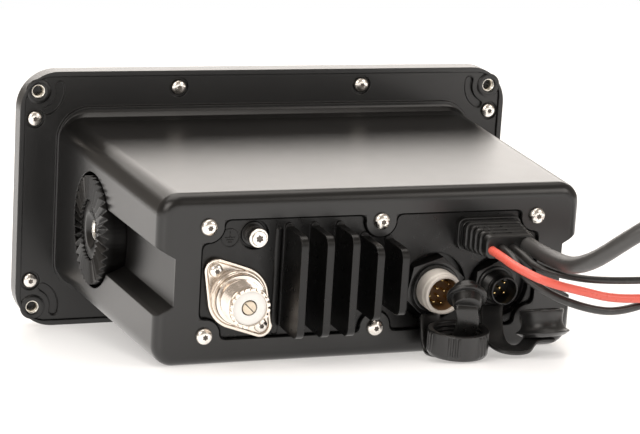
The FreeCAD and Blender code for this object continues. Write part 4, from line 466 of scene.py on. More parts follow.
# ---- detail meshes, drawn in the radio's own axes in millimetres ----
REAR_AXIS = (0, 1, 0)
SIDE_AXIS = (1, 0, 0)
UP_AXIS = (0, 0, 1)
BODY_DEPTH = 120.8
PLATE_FACE = 119.5
NUT_FRONT = 121.9
RING_SEAT = NUT_FRONT + 0.05
SHARP = 34  # degrees from which an edge is drawn sharp
QUARTERS = ((1, 1), (-1, 1), (-1, -1), (1, -1))
STRAP_SIDES = 24
STRAP_WIDE_POWER = 0.35  # the lower these are, the squarer the strap's section
STRAP_TALL_POWER = 0.6
STRAP_END_SHARE = 0.9  # size of a strap's first and last section


class Form:
    """Mesh under construction; shade is the index of a face's material."""

    def __init__(self):
        self.points = []
        self.faces = []
        self.shades = []

    def stack(self, rings, low=True, high=True, shade=0):
        """Skin over closed rings of equally many points, its ends closed if asked."""
        first = len(self.points)
        count = len(rings[0])
        for ring in rings:
            self.points += [tuple(point) for point in ring]
        faces = []
        for level in range(len(rings) - 1):
            for k in range(count):
                a = first + level * count + k
                b = first + level * count + (k + 1) % count
                faces.append((a, b, b + count, a + count))
        if low:
            faces.append(tuple(reversed(range(first, first + count))))
        if high:
            faces.append(tuple(range(first + (len(rings) - 1) * count, first + len(rings) * count)))
        self.faces += faces
        self.shades += [shade] * len(faces)

    def hoop(self, rings, shade=0):
        """Ring-shaped skin: the last ring joins the first."""
        self.stack(rings + rings[:1], False, False, shade)

    def box(self, low, high):
        corners = [(low[0], low[2]), (high[0], low[2]), (high[0], high[2]), (low[0], high[2])]
        self.stack([[(x, y, z) for x, z in corners] for y in (low[1], high[1])])


def turned(profile, centre, axis=REAR_AXIS, sides=64):
    """Rings of a turned shape; the profile holds (radius, place along the axis).

    Either may be a function of the angle.
    """
    axis = Vector(axis).normalized()
    side = Vector(SIDE_AXIS if abs(axis.x) < 0.9 else REAR_AXIS)
    side = (side - axis * side.dot(axis)).normalized()
    up = side.cross(axis)
    rings = []
    for radius, along in profile:
        ring = []
        for k in range(sides):
            angle = tau * k / sides
            out = radius(angle) if callable(radius) else radius
            rise = along(angle) if callable(along) else along
            ring.append(Vector(centre) + side * (out * cos(angle)) + up * (out * sin(angle))
                        + axis * rise)
        rings.append(ring)
    return rings


def rounded_ring(half_width, half_height, corner, y, x, z, steps=6):
    """Rounded rectangle in the plane at depth y."""
    ring = []
    for k, (sx, sz) in enumerate(QUARTERS):
        for step in range(steps + 1):
            angle = pi / 2 * (k + step / steps)
            ring.append((x + sx * (half_width - corner) + corner * cos(angle), y,
                         z + sz * (half_height - corner) + corner * sin(angle)))
    return ring


def smooth_line(points, steps):
    """Catmull-Rom line through the given vectors."""
    padded = [points[0]] + list(points) + [points[-1]]
    line = []
    for a, b, c, d in zip(padded, padded[1:], padded[2:], padded[3:]):
        for step in range(steps):
            t = step / steps
            line.append(0.5 * (2 * b + (c - a) * t + (2 * a - 5 * b + 4 * c - d) * t ** 2
                               + (3 * b - a - 3 * c + d) * t ** 3))
    return line + [points[-1]]


def strap(form, stations, width, thick, steps=7):
    """Flat rubber strap through stations of (centre, width direction, thickness direction)."""
    centres, acrosses, ups = [smooth_line([Vector(station[k]) for station in stations], steps)
                              for k in range(3)]
    rings = []
    last = len(centres) - 1
    for k, (centre, across, up) in enumerate(zip(centres, acrosses, ups)):
        across = across.normalized()
        up = (up - across * up.dot(across)).normalized()
        share = 1 if 0 < k < last else STRAP_END_SHARE
        ring = []
        for step in range(STRAP_SIDES):
            angle = tau * step / STRAP_SIDES
            cosine, sine = cos(angle), sin(angle)
            wide = copysign(abs(cosine) ** STRAP_WIDE_POWER, cosine) * width / 2 * share
            tall = copysign(abs(sine) ** STRAP_TALL_POWER, sine) * thick / 2 * share
            ring.append(centre + across * wide + up * tall)
        rings.append(ring)
    form.stack(rings)


def add_piece(name, form, like, materials=(), beside=False, place=None, finish=None):
    """Object of a form in place of a CAD node, or beside it, with that node's body and finish."""
    mesh = bpy.data.meshes.new(name)
    place = place or (lambda point: spot(*point))
    mesh.from_pydata([tuple(place(point)) for point in form.points], [], form.faces)
    builder = bmesh.new()
    builder.from_mesh(mesh)
    bmesh.ops.recalc_face_normals(builder, faces=builder.faces)
    builder.to_mesh(mesh)
    builder.free()
    for key in (finish or SLOTS[like], *materials):
        mesh.materials.append(MATERIALS[key])
    mesh.polygons.foreach_set("material_index", form.shades)
    mesh.shade_smooth()
    mesh.set_sharp_from_angle(angle=radians(SHARP))
    piece = linked(name, mesh)
    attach(piece, body_of(NODES[like])[0])
    if not beside:
        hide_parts(like)
    return piece


# ---- screws ----
SCREW_HEAD = 3.15
SCREW_HEIGHT = 2.2
SCREW_SIDES = 48
LOBE = 0.17  # swing of a recess's lobes, as a share of its size
FLANGE_SEAT = -1
GROUND_SCREW = (46.2, 16.3)
GROUND_SEAT = 117.1
GROUND_TOP = 125.1
GROUND_TURN = 0.4


def four(x, z):
    """A place and its mirror images."""
    return [(side * x, level * z) for side in (1, -1) for level in (1, -1)]


REAR_SCREWS = [(x, z) for x in (63.9, -1.8, -63.9) for z in (20.15, -20.15)]
FLANGE_SCREWS = four(97.9, 33.2) + four(39.3, 45)
CORNER_HOLES = four(96.8, 44.2)


def star(size, turn):
    """Six-lobed outline of a drive recess."""
    return lambda angle: size * (1 + LOBE * cos(6 * (angle - turn)))


def screw(form, x, z, seat, radius=SCREW_HEAD, height=SCREW_HEIGHT, size=0.86):
    """Domed pan head with a six-lobed recess, each stopped at its own angle; the recess is painted dark as
    shade.
    """
    turn = (x * 1.7 + z * 0.9) % tau
    top = seat + height
    dome = ((0.95, 0), (1, 0.06), (1, 0.22), (0.97, 0.42), (0.89, 0.62), (0.76, 0.8), (0.6, 0.92),
            (0.47, 0.98))
    profile = [(radius * out, seat + height * up) for out, up in dome]
    profile.append((star(size * 1.05, turn), top))
    form.stack(turned(profile, (x, 0, z), sides=SCREW_SIDES), high=False)
    recess = [(star(size * share, turn), top - drop) for share, drop in ((1.05, 0), (1, 0.12), (0.9, 0.5))]
    form.stack(turned(recess, (x, 0, z), sides=SCREW_SIDES), low=False, shade=1)


def add_screws():
    flange, rear, antenna = Form(), Form(), Form()
    for x, z in FLANGE_SCREWS:
        screw(flange, x, z, FLANGE_SEAT)
    for x, z in REAR_SCREWS:
        screw(rear, x, z, BODY_DEPTH)
    for x, z, _ in ANTENNA_DISCS[1:]:
        screw(antenna, ANTENNA_X + x, ANTENNA_Z + z, ANTENNA_FLOOR, radius=2.6, height=1.9, size=0.8)
    for kind, form in (("flange_screw", flange), ("rear_screw", rear), ("antenna_screw", antenna)):
        # the recesses take the second finish: painted shade
        add_piece(kind + "_heads", form, kind + "s", ["painted_recess_shade"])


def add_ground_screw():
    """Tall cap screw over a black washer, its recess painted dark as shade."""
    form = Form()
    seat, top = GROUND_SEAT, GROUND_TOP
    centre = (GROUND_SCREW[0], 0, GROUND_SCREW[1])
    washer = [(4.4, seat), (4.5, seat + 0.15), (4.5, seat + 0.85), (4.3, seat + 1), (3.1, seat + 1)]
    form.stack(turned(washer, centre), high=False, shade=2)
    recess = [(star(size, GROUND_TURN), top - drop) for size, drop in ((1.21, 0), (1.15, 0.15), (1, 0.6))]
    head = [(3.1, seat + 1), (3.1, top - 5.4), (3.45, top - 5.2), (3.5, top - 5), (3.5, top - 1.1),
            (3.35, top - 0.9), (2.8, top - 0.85), (2.7, top - 0.7), (2.65, top - 0.2), (2.5, top), recess[0]]
    form.stack(turned(head, centre), low=False, high=False)
    # recess in the second finish: painted shade
    form.stack(turned(recess, centre), low=False, shade=1)
    add_piece("ground_screw_head", form, "ground_screw", ["painted_recess_shade", "nut_black"])


# ---- antenna socket ----
ANTENNA_X = 51.7
ANTENNA_Z = -6.4
ANTENNA_DISCS = ((0, 0, 11.6), (8.9, 10.6, 4.4), (-8.9, -10.6, 4.4))  # middle and ears of its flange
ANTENNA_TOP = PLATE_FACE + 2.2
ANTENNA_FLOOR = ANTENNA_TOP - 0.8
ANTENNA_FRONT = PLATE_FACE + 15
THREAD_PITCH = 1.058
THREAD_CREST = 7.94
THREAD_ROOT = 7.25
CROWN_NOTCHES = 20
NOTCH_SHARE = 0.24  # half width of a notch, as a share of their spacing
CONTACT_RADIUS = 2.5
SLIT_HALF_LENGTH = 2.3
SLIT_HALF_WIDTH = 0.16


def rhombic(inset, y, sides=120):
    """Outline of the two-eared flange, drawn in by the inset."""
    ring = []
    for k in range(sides):
        across, up = cos(tau * k / sides), sin(tau * k / sides)
        x, z, radius = max(ANTENNA_DISCS, key=lambda disc: disc[0] * across + disc[1] * up + disc[2])
        ring.append((ANTENNA_X + x + (radius - inset) * across, y, ANTENNA_Z + z + (radius - inset) * up))
    return ring


def thread(low, high, crest, root, pitch):
    """Profile of a thread's ridges."""
    ridges = []
    y = low
    while y + pitch <= high:
        for radius, share in ((root, 0.08), (crest, 0.42), (crest, 0.58), (root, 0.92)):
            ridges.append((radius, y + pitch * share))
        y += pitch
    return ridges


def notched(depth):
    """Front rim of the crown, cut by vee notches of the given depth."""
    def along(angle):
        off = abs((angle * CROWN_NOTCHES / tau + 0.5) % 1 - 0.5) / NOTCH_SHARE
        return ANTENNA_FRONT - depth * max(0, 1 - off)
    return along


def add_antenna_socket():
    form = Form()
    top, front = ANTENNA_TOP, ANTENNA_FRONT
    form.stack([rhombic(inset, y) for inset, y in (
        (0.15, PLATE_FACE), (0, PLATE_FACE + 0.2), (0, top - 0.5), (0.14, top - 0.16), (0.45, top),
        (0.95, top), (1.2, top - 0.12), (1.35, top - 0.4), (1.5, ANTENNA_FLOOR))])
    profile = [(10.2, ANTENNA_FLOOR - 0.3), (10.2, top - 0.1), (10, top + 0.15), (9.55, top + 0.15),
               (9.4, top + 0.35), (9.4, 123.9), (9.15, 124.3), (8.4, 124.4), (7.7, 124.5), (7.5, 124.9)]
    profile += thread(125, 132.5, THREAD_CREST, THREAD_ROOT, THREAD_PITCH)
    profile += [(7.4, 132.7), (7.5, 133), (7.5, notched(1)), (6.95, notched(0.6)), (6.55, front),
                (6.32, front - 0.1), (6.32, front - 3)]
    form.stack(turned(profile, (ANTENNA_X, 0, ANTENNA_Z), sides=160), low=False, high=False)
    add_piece("antenna_socket_body", form, "antenna_socket")


def add_antenna_contact():
    """Closed nose of the contact, and a black bar across it as painted shade of its slit."""
    middle = Vector((ANTENNA_X, 0, ANTENNA_Z))
    front = ANTENNA_FRONT - 0.9
    contact = Form()
    contact.stack(turned([(CONTACT_RADIUS, front - 6), (CONTACT_RADIUS, front - 0.2), (2.35, front),
                          (1.9, front + 0.08), (0.9, front + 0.1)], middle))
    add_piece("antenna_contact_face", contact, "antenna_contact", finish="contact_pale")
    along = Vector((1, 0, 1)).normalized() * SLIT_HALF_LENGTH
    across = Vector((1, 0, -1)).normalized() * SLIT_HALF_WIDTH
    # black bar laid across the face: painted shade of the slit
    slit = Form()
    slit.stack([[middle + Vector((0, y, 0)) + along * a + across * b for a, b in QUARTERS]
                for y in (front - 0.2, front + 0.125)])
    add_piece("antenna_contact_slit_shade", slit, "heatsink_plate", beside=True)


# ---- signal sockets ----
HANDSET_X = -24.4
HANDSET_Z = -6
HANDSET_BARREL = 7.9
HANDSET_RIM = 129.6  # inner edge of its front rim, where the brown lining begins
NETWORK_X = -48.8
NETWORK_Z = -5.8
NETWORK_BARREL = 6
NETWORK_FLOOR = 122.4
SOCKET_FOOT = 112  # where both barrels start, under the plate


def add_handset_socket():
    form = Form()
    centre = (HANDSET_X, 0, HANDSET_Z)
    shell = [(HANDSET_BARREL, SOCKET_FOOT), (HANDSET_BARREL, 127.9), (7.84, 128.2), (7.6, 128.7),
             (7.45, 128.85), (7.4, 129.1), (7.4, 130.5), (7.28, 130.85), (7, 131), (6.5, 131),
             (6.25, 130.85), (6.1, 130.5), (6.1, HANDSET_RIM)]
    form.stack(turned(shell, centre), low=False, high=False)
    lining = [(6.1, HANDSET_RIM), (5.95, 129.4), (5.95, 122.9)]
    form.stack(turned(lining, centre), low=False, high=False, shade=1)
    add_piece("handset_connector_shell", form, "handset_connector", ["insert_brown"])


def add_network_socket():
    form = Form()
    profile = [(NETWORK_BARREL, SOCKET_FOOT), (NETWORK_BARREL, 121)]
    profile += thread(121.4, 127.9, NETWORK_BARREL, 5.68, 1)
    profile += [(5.7, 128.1), (5.4, 128.5), (5.35, 128.8), (5.35, 130.1), (5.25, 130.3), (5.05, 130.4),
                (4.85, 130.4), (4.65, 130.25), (4.6, 130), (4.6, NETWORK_FLOOR)]
    form.stack(turned(profile, (NETWORK_X, 0, NETWORK_Z)), low=False, high=False)
    form.box((NETWORK_X - 0.6, NETWORK_FLOOR, NETWORK_Z + 3.9), (NETWORK_X + 0.6, 129.8, NETWORK_Z + 4.8))
    add_piece("network_connector_shell", form, "network_connector")


def add_pins(name, x, z, reach, circles):
    """Round-nosed pins on circles of (radius, angle of the first, count)."""
    form = Form()
    nose = [(0.5, reach - 4), (0.5, reach - 0.35), (0.38, reach - 0.1), (0.15, reach)]
    for radius, first, count in circles:
        for k in range(count):
            angle = radians(first + 360 / count * k)
            place = (x + radius * cos(angle), 0, z + radius * sin(angle))
            form.stack(turned(nose, place, sides=20))
    add_piece(name + "_contacts", form, name + "_connector_pins")


# ---- grommet ----
GROMMET_X = -44.6
GROMMET_Z = 14.2
GROMMET_START = 123.1  # where its foot ends and the ribs begin
GROMMET_RIBS = 5
GROMMET_GROOVE = 1.3  # width and depth of the grooves between the ribs
GROMMET_SIZES = (11.9, 5.7)  # half width and half height at the start of the ribs
GROMMET_TAPER = (2.2, 1.5)  # by how much each is less at their end


def grommet_sizes(y):
    """Half width and half height of the ribs at depth y."""
    share = (y - GROMMET_START) / (GROMMET_REACH - GROMMET_START)
    return [size - taper * share for size, taper in zip(GROMMET_SIZES, GROMMET_TAPER)]


def add_grommet():
    """Foot, grooved ribs whose groove floors are painted dark as shade, and bridges across the upper grooves.
    """
    form = Form()
    middle = (GROMMET_X, GROMMET_Z)
    rings = [rounded_ring(*sizes, *middle) for sizes in (
        (12.7, 6.2, 3, PLATE_FACE - 0.3), (12.7, 6.2, 3, 121.6), (12.58, 6.08, 2.9, 121.9),
        (12.3, 5.8, 2.7, 122), (12, 5.6, 2.6, 121.95), (11.9, 5.5, 2.6, 121.7), (11.55, 5.3, 2.5, 121.7),
        (11.5, 5.25, 2.5, 121.9), (11.5, 5.25, 2.5, 122.9), (11.35, 5.1, 2.4, GROMMET_START))]
    foot = len(rings)
    groove = GROMMET_GROOVE
    pitch = (GROMMET_REACH - GROMMET_START - groove) / GROMMET_RIBS
    for k in range(GROMMET_RIBS):
        low = GROMMET_START + groove + pitch * k
        high = low + pitch - groove if k < GROMMET_RIBS - 1 else GROMMET_REACH
        for y, inset in ((low - groove + 0.2, groove), (low - 0.1, groove), (low, 1.1), (low + 0.06, 0.3),
                         (low + 0.3, 0.05), ((low + high) / 2, 0), (high - 0.3, 0.05), (high - 0.06, 0.3),
                         (high, 0.9)):
            half_width, half_height = grommet_sizes(y)
            rings.append(rounded_ring(half_width - inset, half_height - inset, 2.6 - inset * 0.4, y, *middle))
    form.stack(rings)
    around = len(rings[0])
    # groove floors take the second finish: painted shade in the grooves
    for level in range(foot - 1, len(rings) - 1, (len(rings) - foot) // GROMMET_RIBS):
        for face in range(level * around, (level + 2) * around):
            form.shades[face] = 1
    for k in range(2, GROMMET_RIBS):
        high = GROMMET_START + groove + pitch * k + 0.2
        low = high - groove - 0.4
        half_width, half_height = grommet_sizes(high)
        for left, right in ((half_width - 2.4, half_width - 4), (half_width - 5, half_width - 6.3),
                            (half_width - 11.8, 2.4 - half_width)):
            form.box((GROMMET_X + right, low, GROMMET_Z + half_height - 1.6),
                     (GROMMET_X + left, high, GROMMET_Z + half_height - 0.02))
    add_piece("grommet_moulding", form, "cable_grommet", ["painted_gap_shade"])


# ---- caps and tethers ----
CUP_MIDDLE = (-27, 139.5, -25.7)
PUSH_CAP_MIDDLE = (-61, 140.2, -20.6)
PUSH_CAP_AXIS = (0.03, -0.27, 0.96)
PLUG_MIDDLE = Vector((-28.2, 142, -4.2))
PLUG_AXIS = (-0.23, -0.75, 0.62)
STRAP_THICK = 1.8
CUP_RADIUS = 11.2
CUP_HEIGHT = 9.6
CUP_BORE = 9.2
CUP_FLOOR = 1.6


def tether_ring(form, barrel, x, z):
    """Ring of a tether round a socket's barrel."""
    y = RING_SEAT
    outer, inner = barrel + 1.3, barrel + 0.05
    profile = [(inner, y), (outer - 0.2, y), (outer, y + 0.3), (outer, y + 0.9), (outer - 0.3, y + 1.2),
               (inner + 0.2, y + 1.2), (inner, y + 1)]
    form.hoop(turned(profile, (x, 0, z)))


def add_handset_tether():
    form = Form()
    z = HANDSET_Z
    cup_x, cup_y, cup_z = CUP_MIDDLE
    tether_ring(form, HANDSET_BARREL, HANDSET_X, z)
    lying = (0, -0.17, 0.985)
    stations = [
        ((-22.6, RING_SEAT + 0.9, z - 9.3), (1, 0, 0), (0, 1, 0)),
        ((-22.6, RING_SEAT + 2.6, z - 14.5), (1, 0, 0), (0, 1, 0.3)),
        ((-22.8, RING_SEAT + 3.9, z - 19.5), (1, 0, 0), (0, 1, 0.5)),
        ((-23.2, RING_SEAT + 6.2, z - 22.3), (1, 0, 0), (0, 0.6, 0.8)),
        ((-23.9, RING_SEAT + 9.6, z - 22.3), (1, 0, 0), lying),
        ((cup_x + 1.6, cup_y - 3.9, cup_z - 1.85), (1, 0, 0), lying),
        ((cup_x + 0.6, cup_y - 1.3, cup_z - 1.4), (1, 0, 0), lying),
        ((cup_x, cup_y - 0.2, cup_z - 0.5), (1, 0, 0), (0, -0.8, 0.5)),
        ((cup_x, cup_y + 0.2, cup_z + 1.1), (1, 0, 0), (0, -1, 0)),
        ((cup_x - 0.6, cup_y + 2.4, cup_z + 7), (1, -0.1, 0), (0, -1, 0.3)),
        ((cup_x - 1.2, cup_y + 4.6, cup_z + 13), (1, -0.2, 0), (0, -1, 0.2)),
        (PLUG_MIDDLE + Vector((0.9, 2.6, -3.6)), (1, -0.2, 0), (0, -1, -0.3)),
        (PLUG_MIDDLE + Vector((0.3, 1.4, -1.2)), (1, -0.2, 0), (0, -0.6, -0.8))]
    strap(form, stations, 8.2, STRAP_THICK)
    plug = [(4.6, -3.4), (5, -3.2), (5.4, -1.2), (5.6, 0), (6.7, 0), (7.1, 0.15), (7.3, 0.55),
            (7.3, 1.35), (7.1, 1.8), (6.6, 2), (5.3, 2.05), (5.05, 2.2), (4.95, 2.5), (4.95, 4.3),
            (4.8, 4.9), (4.4, 5.3), (3.7, 5.42), (3.2, 5.3), (2.8, 5.3)]
    form.stack(turned(plug, PLUG_MIDDLE, PLUG_AXIS, 72))
    add_piece("handset_tether_moulding", form, "handset_tether")


def ribbed(rise):
    """Radius of the cap with three grip ribs in each of six groups."""
    def out(angle):
        group = (degrees(angle) + 30) % 60 - 30
        nearest = min(abs(group - place) for place in (-9, 0, 9))
        return CUP_RADIUS + rise * max(0, 1 - (nearest / 3) ** 2) ** 0.5
    return out


def add_handset_cap():
    """Ribbed screw cap, lying mouth up, with thread grooves in its bore."""
    form = Form()
    hub, wall, high = 5.2, CUP_RADIUS, CUP_HEIGHT
    profile = [(hub, 0), (9.9, 0), (10.6, 0.25), (11, 0.8), (wall, 1.5), (ribbed(0.3), 1.7),
               (ribbed(0.45), 2.3), (ribbed(0.45), high - 1.3), (ribbed(0.2), high - 0.8), (wall, high - 0.7),
               (wall, high - 0.3), (11, high - 0.05), (10.7, high), (9.6, high), (9.3, high - 0.15),
               (CUP_BORE, high - 0.5)]
    for k in range(4):
        low = 8.6 - 1.6 * k
        profile += [(CUP_BORE, low), (8.75, low - 0.35), (8.75, low - 0.7), (CUP_BORE, low - 1.05)]
    profile += [(CUP_BORE, CUP_FLOOR), (hub, CUP_FLOOR)]
    form.hoop(turned(profile, CUP_MIDDLE, UP_AXIS, 240))
    add_piece("handset_cap_moulding", form, "handset_cap")


def add_network_cap():
    form = Form()
    x, z = NETWORK_X, NETWORK_Z
    cap_x, cap_y, cap_z = PUSH_CAP_MIDDLE
    tether_ring(form, NETWORK_BARREL, x, z)
    cap = [(7.4, 0), (8.1, 0.25), (9.5, 1.15), (9.85, 1.45), (9.85, 1.65), (9.5, 1.95), (8.9, 2.3),
           (8.2, 3.1), (7.75, 4.1), (7.55, 5.2), (7.6, 6.3), (7.8, 7.5), (8.1, 8.6), (8.2, 9.2),
           (8.15, 9.6), (7.9, 9.8), (6.9, 9.8), (6.5, 9.65), (6.3, 9.3), (6.3, 6), (6, 5.7),
           (6, 5.2), (6.3, 4.9), (6.3, 2.4), (6.1, 2.2), (3, 2.2)]
    form.stack(turned(cap, PUSH_CAP_MIDDLE, PUSH_CAP_AXIS, 96))
    stations = [
        ((x + 1.2, RING_SEAT + 0.9, z - 7.4), (1, 0, 0), (0, 1, 0)),
        ((x + 3, RING_SEAT + 5, z - 11.2), (1, 0, 0), (0, 0.8, 0.6)),
        ((x + 5, RING_SEAT + 12, z - 15.4), (1, 0.1, 0), (0, 0.5, 0.85)),
        ((x + 4.4, RING_SEAT + 16.6, z - 17.9), (0.9, 0.4, 0), (0, 0.4, 0.9)),
        ((x + 1.6, RING_SEAT + 20, z - 18.8), (0.6, 0.8, 0), (0, 0.1, 1)),
        ((x - 3.4, RING_SEAT + 20.6, z - 18.4), (0, 1, 0), (0.2, 0, 1)),
        ((cap_x + 4, cap_y, cap_z - 0.8), (0, 1, 0), (0.2, 0, 1)),
        ((cap_x - 3, cap_y, cap_z - 0.6), (0, 1, 0), (0, 0, 1))]
    strap(form, stations, 8.8, STRAP_THICK)
    add_piece("network_cap_moulding", form, "network_cap")


# ---- small reliefs of the housing and the plate ----
WINDOW_LEFT = -65.2
WINDOW_RIGHT = 65.8
WINDOW_BOTTOM = -21.7
WINDOW_TOP = 22.3
WINDOW_NOTCH = 6.3  # radius of the notch round each rear screw
WINDOW_BLEND = 3.4  # rounding of the notches' ends
BEND_STEPS = 7
BLEND_STEPS = 4
NOTCH_STEPS = 14
GAP_SHADE_WIDTH = 0.45
EARTH_SIGN = (55.4, 15.6)
SIGN_RISE = 0.18
BAND = (37, -1.2)  # broad soft band beside the first fin
RELIEF_RADIUS = 9
RELIEF_BEGIN = 14  # degrees from the line towards the middle of the flange
RELIEF_END = -64
RELIEF_STEPS = 12
CORNER_BORE = 2.75
CORNER_FLOOR = -2.9
PIVOT_CENTRE = (0, 46.5, 0)


def bend(first, corner, last):
    """Curve from one point to another that leaves and arrives towards a corner."""
    first, corner, last = Vector(first), Vector(corner), Vector(last)
    shares = [k / BEND_STEPS for k in range(BEND_STEPS + 1)]
    return [first.lerp(corner, share).lerp(corner.lerp(last, share), share) for share in shares]


def window_corners(out):
    """Rounded ends of the notches in the rear window's edge.

    Yields the screw's x and z, the side, the angle where the notch goes on, the rounding and what it fills.
    """
    left, right, low, high = WINDOW_LEFT - out, WINDOW_RIGHT + out, WINDOW_BOTTOM - out, WINDOW_TOP + out
    notch = WINDOW_NOTCH - out
    columns = sorted({x for x, z in REAR_SCREWS})
    row = max(z for x, z in REAR_SCREWS)
    for going, line_z in ((1, low), (-1, high)):
        z = -going * row
        across = sqrt(notch ** 2 - (line_z - z) ** 2)
        for x in columns[::going]:
            for side in (-1, 1):
                corner, ahead = (x + side * going * across, line_z), (side * going, 0)
                if x in (columns[0], columns[-1]) and x * going * side > 0:
                    line_x = left if x < 0 else right
                    along = sqrt(notch ** 2 - (line_x - x) ** 2)
                    corner, ahead = (line_x, z + going * along), (0, going)
                start = atan2(corner[1] - z, corner[0] - x)
                turn = side * WINDOW_BLEND / notch
                angles = [start + turn * k / BLEND_STEPS for k in range(BLEND_STEPS + 1)]
                arc = [[x + notch * cos(angle), z + notch * sin(angle)] for angle in angles]
                away = (corner[0] + ahead[0] * WINDOW_BLEND, corner[1] + ahead[1] * WINDOW_BLEND)
                rounding = bend(away, corner, arc[-1])
                yield x, z, side, angles[-1], rounding, rounding + arc[-2::-1]


def window_line(out, y):
    """Edge of the rear window, notched round each rear screw and drawn outwards."""
    notch = WINDOW_NOTCH - out
    ring = []
    before = None
    for x, z, side, last, rounding, _ in window_corners(out):
        if side < 0:
            before = last
            ring += rounding
            continue
        while last > before:
            last -= tau
        for k in range(1, NOTCH_STEPS):
            angle = before + (last - before) * k / NOTCH_STEPS
            ring.append((x + notch * cos(angle), z + notch * sin(angle)))
        ring += rounding[::-1]
    return [(x, y, z) for x, z in ring]


def add_plate_reliefs():
    """Earth sign, the band beside the fins and a dark strip round the window, painted shadow of the gap at
    its edge.
    """
    form = Form()
    x, z = EARTH_SIGN
    low, high = PLATE_FACE - 0.1, PLATE_FACE + SIGN_RISE
    form.hoop(turned([(3.1, low), (3.1, high), (3.5, high), (3.5, low)], (x, 0, z)))
    form.box((x - 0.17, low, z + 0.2), (x + 0.17, high, z + 2.3))
    for half, up in ((1.9, 0.1), (1.3, -0.75), (0.7, -1.6)):
        form.box((x - half, low, z + up - 0.17), (x + half, high, z + up + 0.17))
    form.stack([rounded_ring(1.5 - inset, 20.2 - inset, 1.45 - inset, PLATE_FACE + rise, *BAND)
                for rise, inset in ((-0.1, 0), (0.1, 0.1), (0.25, 0.35), (0.36, 0.75), (0.4, 1.2))])
    # dark strip at the window's edge: painted shadow of the gap
    form.hoop([window_line(out, BODY_DEPTH + rise) for out, rise in
               ((0, -0.3), (0, 0.03), (GAP_SHADE_WIDTH, 0.03), (GAP_SHADE_WIDTH, -0.3))], shade=1)
    add_piece("plate_reliefs", form, "heatsink_plate", ["painted_gap_shade"], beside=True)


def add_window_corners():
    form = Form()
    for *_, filled in window_corners(0):
        form.stack([[(x, y, z) for x, z in filled] for y in (PLATE_FACE - 0.2, BODY_DEPTH)])
    add_piece("window_corners", form, "rear_housing", beside=True)


def relief_outline(x, z, half, y):
    """Outline of the curved relief beside a corner hole, `half` millimetres to each side of its line."""
    towards = pi if x > 0 else 0
    turn = -1 if x * z > 0 else 1
    begin, end = [towards + turn * radians(angle) for angle in (RELIEF_BEGIN, RELIEF_END)]
    ring = []
    for radius, first, last in ((RELIEF_RADIUS + half, begin, end), (RELIEF_RADIUS - half, end, begin)):
        for k in range(RELIEF_STEPS + 1):
            angle = first + (last - first) * k / RELIEF_STEPS
            ring.append((x + radius * cos(angle), y, z + radius * sin(angle)))
        heading = last if radius > RELIEF_RADIUS else last + pi
        for share in (0.17, 0.33, 0.5, 0.67, 0.83):
            angle = heading - turn * pi * share
            ring.append((x + RELIEF_RADIUS * cos(last) + half * cos(angle), y,
                         z + RELIEF_RADIUS * sin(last) + half * sin(angle)))
    return ring


def add_housing_reliefs():
    """Raised lines round the corner holes and rims of the two pivots."""
    form = Form()
    boss = [(CORNER_BORE, CORNER_FLOOR), (CORNER_BORE, 0.4), (2.95, 0.62), (3.2, 0.7), (4.5, 0.7),
            (4.85, 0.5), (4.95, 0.3), (4.95, -0.2), (3.1, -0.3), (3.1, CORNER_FLOOR)]
    for x, z in CORNER_HOLES:
        form.hoop([relief_outline(x, z, half, y) for half, y in
                   ((1.6, -0.1), (1.62, 0.2), (1.78, 0.36), (1.95, 0.2), (2.05, -0.1))])
        form.hoop(turned(boss, (x, 0, z)))
    rim = [(4.3, 84.4), (4.4, 84.75), (6.6, 85.9), (7, 86.3), (7.4, 86.45), (11, 86.45), (11.4, 86.3),
           (11.55, 85.9), (11.55, 84.4)]
    for side in (1, -1):
        form.hoop(turned(rim, PIVOT_CENTRE, (side, 0, 0), 96))
    add_piece("housing_reliefs", form, "rear_housing", beside=True)


def add_sleeves():
    """Threaded inserts: cone-mouthed ones in the corners and plain ones in the pivots."""
    corners, pivots = Form(), Form()
    cone = [(CORNER_BORE, CORNER_FLOOR), (CORNER_BORE, 0), (2.6, 0.1), (2.5, 0.1), (2.35, 0),
            (1.65, -1.5), (1.55, -1.9), (1.55, -7.5), (2.15, -7.5), (2.15, CORNER_FLOOR)]
    for x, z in CORNER_HOLES:
        corners.hoop(turned(cone, (x, 0, z)))
    add_piece("corner_insert_sleeves", corners, "corner_inserts")
    plain = [(2.1, 76), (2.1, 84.3), (2.6, 84.95), (3.7, 85), (3.95, 84.8), (4, 84.3), (4, 76)]
    for side in (1, -1):
        pivots.hoop(turned(plain, PIVOT_CENTRE, (side, 0, 0)))
    add_piece("pivot_insert_sleeves", pivots, "pivot_inserts")


# ---- stage ----
FLOOR_SIZE = 160
FLOOR_GLOW_NEAR = 0.42  # glow of the table round the radio, as the camera sees it
FLOOR_GLOW_FAR = 0.8
FLOOR_NEAR = 0.35  # metres from the middle where the glow starts to grow
FLOOR_FAR = 1.6
FLOOR_TINT = (1, 0.965, 0.93)
STUDIO_WHITE = 1
STUDIO_FILL = 0.6
STUDIO_GLOSS = (0.42, 0.38, 0.34)
LAMP_TINT = (1, 0.95, 0.9)
LAMP_AIM = Vector((0, 0, 0.05))
LAMPS = {
    # name: place, size and watts
    "softbox_top": ((0.1, -0.1, 1.1), (1.2, 1), 9),
    "softbox_back": ((-0.35, -1.1, 0.62), (1.6, 0.55), 9),
    "softbox_camera_left": ((1.1, 0.9, 0.8), (0.8, 0.8), 9),
    "softbox_camera_right": ((-0.8, 1, 0.6), (0.6, 0.6), 4),
}


